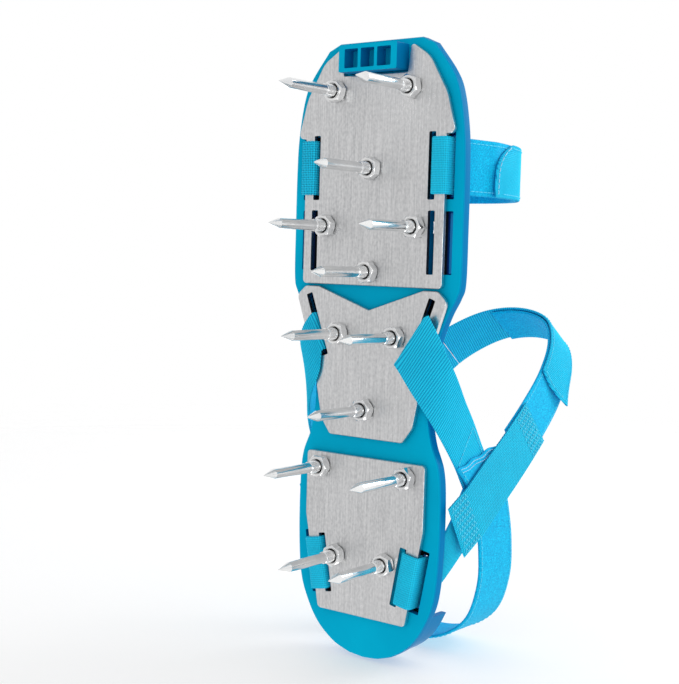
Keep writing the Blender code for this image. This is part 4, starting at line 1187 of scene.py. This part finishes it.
# ---------------------------------------------------------------- side straps
def slot_point(slot, out, along, height):
    """A point outward of and along a +X slot's middle."""
    x, distance, _, turn = slot
    middle = from_toe(x, distance)
    angle = math.radians(turn)
    outward = Vector((math.cos(angle), math.sin(angle)))
    onward = Vector((-math.sin(angle), math.cos(angle)))
    flat = middle + outward * out + onward * along
    return Vector((flat.x, flat.y, height))


def mirror_rows(rows, side):
    if side > 0:
        return rows
    return [(Vector((-a.x, a.y, a.z)), Vector((-b.x, b.y, b.z))) for a, b in rows]


def smooth_rows(rows, steps=3):
    front = catmull([row[0] for row in rows], steps)
    back = catmull([row[1] for row in rows], steps)
    return list(zip(front, back))


def rows_mm(rows):
    return [(Vector(front) * MM, Vector(back) * MM) for front, back in rows]


MID_MEDIAL_START = [
    ((33.5, -18.8, 44.3), (26.4, -0.7, 44.0)), ((33.7, -18.9, 43.7), (25.6, -0.4, 43.4)),
    ((34.0, -19.0, 43.1), (19.4, 3.1, 43.4)), ((34.2, -19.2, 42.8), (18.6, 3.5, 43.1)),
    ((34.6, -19.4, 42.4), (18.3, 3.8, 42.4)), ((35.2, -19.8, 41.9), (18.6, 4.1, 41.6)),
    ((36.0, -20.2, 41.5), (19.4, 4.7, 41.3)),
]
MID_MEDIAL_CLIMB = [
    ((36.9, -20.6, 41.4), (21.2, 6.7, 41.3)), ((43.2, -10.2, 42.2), (28.5, 15.8, 41.4)),
    ((46.2, 0.5, 47.0), (35.2, 24.2, 42.2)), ((45.6, 9.6, 55.0), (39.6, 32.6, 45.6)),
    ((44.6, 20, 63.5), (41.8, 42.0, 52.0)), ((44.0, 30, 72), (42.8, 52.0, 59.5)),
    ((43.0, 41, 81), (42.6, 62.0, 67.0)), ((42.5, 47.5, 86.3), (42.9, 67.5, 71.2)),
]
MID_LATERAL_START = [
    ((33.5, -18.6, 44.3), (27.0, -0.6, 44.3)), ((34.1, -18.1, 43.6), (27.2, 0.4, 43.5)),
]
MID_LATERAL_CLIMB = [
    ((36.0, -16.0, 43.3), (27.5, 4.5, 43.3)), ((38.8, -12.0, 43.3), (28.2, 10.0, 43.3)),
    ((41.6, -6.8, 44.9), (30.4, 15.6, 43.4)), ((43.6, -0.6, 48.2), (33.8, 21.5, 44.4)),
    ((44.6, 8.5, 54.5), (37.4, 31.0, 47.0)), ((44.4, 20, 63.5), (40.8, 41.5, 53.0)),
    ((44.0, 30, 72), (42.5, 52.0, 60.2)), ((43.0, 41, 81), (42.6, 62.0, 67.0)),
    ((42.5, 47.5, 86.3), (42.9, 67.5, 71.2)),
]
MID_BUNCHED_FRONT = -6.0 * MM
HEEL_CLIMB_ROWS = [
    ((34.6, 92.6, 55.0), (31.0, 118.5, 54.9)), ((37.6, 88.4, 55.6), (34.6, 113.9, 55.3)),
    ((40.4, 82.0, 57.0), (38.2, 107.4, 58.4)), ((42.0, 74.5, 61.0), (40.6, 98.5, 66.5)),
    ((41.0, 67.0, 67.5), (41.2, 89.0, 78.6)), ((39.8, 62.5, 73.0), (40.9, 83.5, 85.6)),
]


def make_mid_strap(side, label, start, climb):
    rear = SIDE_WEB_WIDTH / 2
    rows = []
    for height in (POCKET_CEILING_Z - 0.9 * MM, PLATE_FACE_Z + 0.7 * MM):
        rows.append(tuple(slot_point(MID_SLOT, 0, along, height) for along in (MID_BUNCHED_FRONT, rear)))
    rows += rows_mm(start) + smooth_rows(rows_mm(climb))
    strap = Strap(f"mid_strap_{label}_woven", mirror_rows(rows, side), SIDE_WEB_WIDTH, (0, 0, 70 * MM), RIBS)
    far = strap.length
    strap.sew_edges(0.40, far - 20 * MM, far - 2 * MM, 2.2 * MM)
    strap.sew_across(0.40, far - 20 * MM, 2.2 * MM)
    finish_strap(strap, f"mid_strap_{label}", "ribbed")


def make_heel_webbing(side, label):
    half = SIDE_WEB_WIDTH / 2
    rows = []
    for out, height in bar_wrap(HEEL_BAR_WIDTH, SEWN_END_RISE)[:-1]:
        rows.append((slot_point(HEEL_SLOT, out, -half, height), slot_point(HEEL_SLOT, out, half, height)))
    outside = rows[-1]
    for height in (POCKET_CEILING_Z, FOOTBED_Z + 0.2 * MM):
        rows.append(tuple(Vector((point.x, point.y, height)) for point in outside))
    rows += smooth_rows(rows_mm(HEEL_CLIMB_ROWS))
    strap = Strap(f"heel_webbing_{label}_woven", mirror_rows(rows, side), SIDE_WEB_WIDTH,
                  (0, 80 * MM, 75 * MM), FINE_RIBS)
    finish_strap(strap, f"heel_webbing_{label}", "fine")


HOOK_BEND = -0.30
INSTEP_LINE = [
    (0, -9, 196, 58), (19, -5.5, 191, 57), (32, 5, 174, 54), (38.2, 20, 154, 49),
    (41.0, 35, 132, 44), (42.4, 50, 109, 39), (43.0, 66, 84, 34), (43.2, 85, 56, 31),
]


def instep_point(u):
    points = [Vector(values) for values in INSTEP_LINE]
    over_top = [Vector((-p.x, p.y, p.z, p.w)) for p in points[1:2]]
    padded = [*over_top, *points, points[-1] * 2 - points[-2]]
    place_on = u * (len(points) - 1)
    index = min(int(place_on), len(points) - 2)
    return between(*padded[index:index + 4], place_on - index)


def instep_row(u, off, width):
    here = instep_point(abs(u))
    ahead = instep_point(min(abs(u) + 0.01, 1.0)) - instep_point(max(abs(u) - 0.01, 0.0))
    if abs(u) < 0.01:
        ahead = Vector((1, 0, 0, 0))
    lean = math.radians(here.w)
    across_row = Vector((0, math.cos(lean), math.sin(lean)))
    outward = across_row.cross(ahead.xyz).normalized()
    if outward.dot(Vector((here.x, 0, 40))) < 0:
        outward = -outward
    centre = here.xyz * MM + outward * off
    row = (centre - across_row * width / 2, centre + across_row * width / 2)
    return mirror_rows([row], math.copysign(1, u))[0]


def instep_rows(start, end, offsets, steps, width=INSTEP_WIDTH):
    """Rows along the instep line, their offsets spread evenly over the run."""
    rows = []
    for step in range(steps + 1):
        share = step / steps
        spot = share * (len(offsets) - 1)
        index = min(int(spot), len(offsets) - 2)
        off = offsets[index] + (offsets[index + 1] - offsets[index]) * (spot - index)
        rows.append(instep_row(start + (end - start) * share, off, width))
    return rows


def lifted_corner(share, left):
    """How far one corner of the hook strap's free end has peeled up; left is the length still ahead."""
    return 3.4 * MM * max(0.0, share + 0.1) / 0.6 * max(0.0, 1 - left / (26 * MM)) ** 2


def make_instep_straps():
    outer = 2 * LAYER
    ankle = (0, 40 * MM, 110 * MM)
    low_offsets = [LAYER, *[outer] * 6]
    for side, label in ((1, "medial"), (-1, "lateral")):
        rows = instep_rows(0.985 * side, 0.58 * side, low_offsets, 18)
        strap = Strap(f"quarter_strap_{label}_woven", rows, INSTEP_WIDTH, ankle)
        far = strap.length
        for start in (1.5 * MM, far - 14 * MM):
            for row in range(7):
                strap.zigzag(-0.42 + 0.14 * row, 0.05, start, 12.5 * MM, 1.0 * MM)
        finish_strap(strap, f"quarter_strap_{label}", "basket")
    width = INSTEP_WIDTH - MM
    rows = instep_rows(0.70, -0.10, [LAYER, LAYER], 24, width)
    strap = Strap("instep_band_pile", rows, width, ankle, PILE)
    strap.sew_edges(0.43, 4 * MM, strap.length - 4 * MM)
    finish_strap(strap, "instep_loop_band", "pile")

    rows = instep_rows(-0.68, HOOK_BEND - 0.002, [outer + LAYER, outer + LAYER, outer, outer], 18)
    strap = Strap("instep_hook_root_woven", rows, INSTEP_WIDTH, ankle, RIBS)
    for start in (3 * MM, 12 * MM):
        for row in range(3):
            strap.sew_across(0.42, start + row * 1.4 * MM, 1.8 * MM)
    strap.sew_edges(0.44, 17 * MM, strap.length - 1 * MM)
    finish_strap(strap, "instep_hook_root", "ribbed")

    rows = instep_rows(HOOK_BEND, 0.45, [outer, outer], 40)
    strap = Strap("instep_hook_woven", rows, INSTEP_WIDTH, ankle, RIBS,
                  end=lambda s: (0.8 + 2.0 * (0.5 - s) + 5.0 * s * s) * MM, lift=lifted_corner)
    far = strap.length
    strap.sew_edges(0.44, 2 * MM, far - 4 * MM)
    strap.sew([(-0.44 + 0.11 * k, far - 2.2 * MM) for k in range(9)], 2.2 * MM)
    low = instep_row(HOOK_BEND, outer + WEB_THICKNESS / 2, INSTEP_WIDTH)
    ahead = instep_row(HOOK_BEND + 0.05, outer, INSTEP_WIDTH)
    bend = ((low[0] + low[1]) / 2, (ahead[0] + ahead[1]) / 2)
    finish_strap(strap, "instep_hook_strap", "ribbed", "instep_hook", bend)


HEEL_BAND_ROWS = [
    ((44.9, 52.0, 57.5), (44.3, 43.2, 92.8)), ((44.9, 65.4, 70.7), (44.5, 60.6, 101.3)),
    ((44.6, 80.4, 77.1), (44.6, 77.6, 107.9)), ((43.3, 96.5, 83.0), (43.3, 95.5, 114.0)),
    ((41.2, 114, 86.0), (41.2, 114, 117.0)), ((34.6, 132, 86.5), (34.6, 132, 117.5)),
    ((20, 143.2, 86.5), (20, 143.2, 117.5)), ((0, 147.2, 86.5), (0, 147.2, 117.5)),
]


def wavy_end(share):
    return 0.6 * MM * (1 + math.sin(share * 16)) + 3.0 * MM * max(0.0, abs(share) - 0.4)


def make_heel_band():
    medial = rows_mm(HEEL_BAND_ROWS)
    lateral = mirror_rows(medial[-2::-1], -1)
    strap = Strap("heel_band_pile", smooth_rows([*medial, *lateral], 4), HEEL_BAND_WIDTH,
                  (0, 60 * MM, 90 * MM), PILE, start=wavy_end, end=wavy_end, fade=9 * MM)
    far = strap.length
    strap.sew_edges(0.44, 2 * MM, far - 2 * MM)
    for along in (1.2 * MM, 3.4 * MM, far - 1.2 * MM, far - 3.4 * MM):
        strap.sew([(-0.45 + 0.1 * k, along) for k in range(10)], 1.7 * MM, LIGHT_THREAD)
    finish_strap(strap, "heel_band", "pile")


make_sole()
make_plate("toe_plate", TOE_PLATE_HALF, [TOE_SLOT, SPARE_SLOT])
make_plate("mid_plate", MID_PLATE_HALF, [MID_SLOT])
make_plate("heel_plate", HEEL_PLATE_HALF, [HEEL_SLOT])
make_spikes()
make_toe_strap()
make_toe_tail()
make_toe_anchor()
make_toe_ring()
make_mid_strap(1, "medial", MID_MEDIAL_START, MID_MEDIAL_CLIMB)
make_mid_strap(-1, "lateral", MID_LATERAL_START, MID_LATERAL_CLIMB)
make_heel_webbing(1, "medial")
make_heel_webbing(-1, "lateral")
make_instep_straps()
make_heel_band()
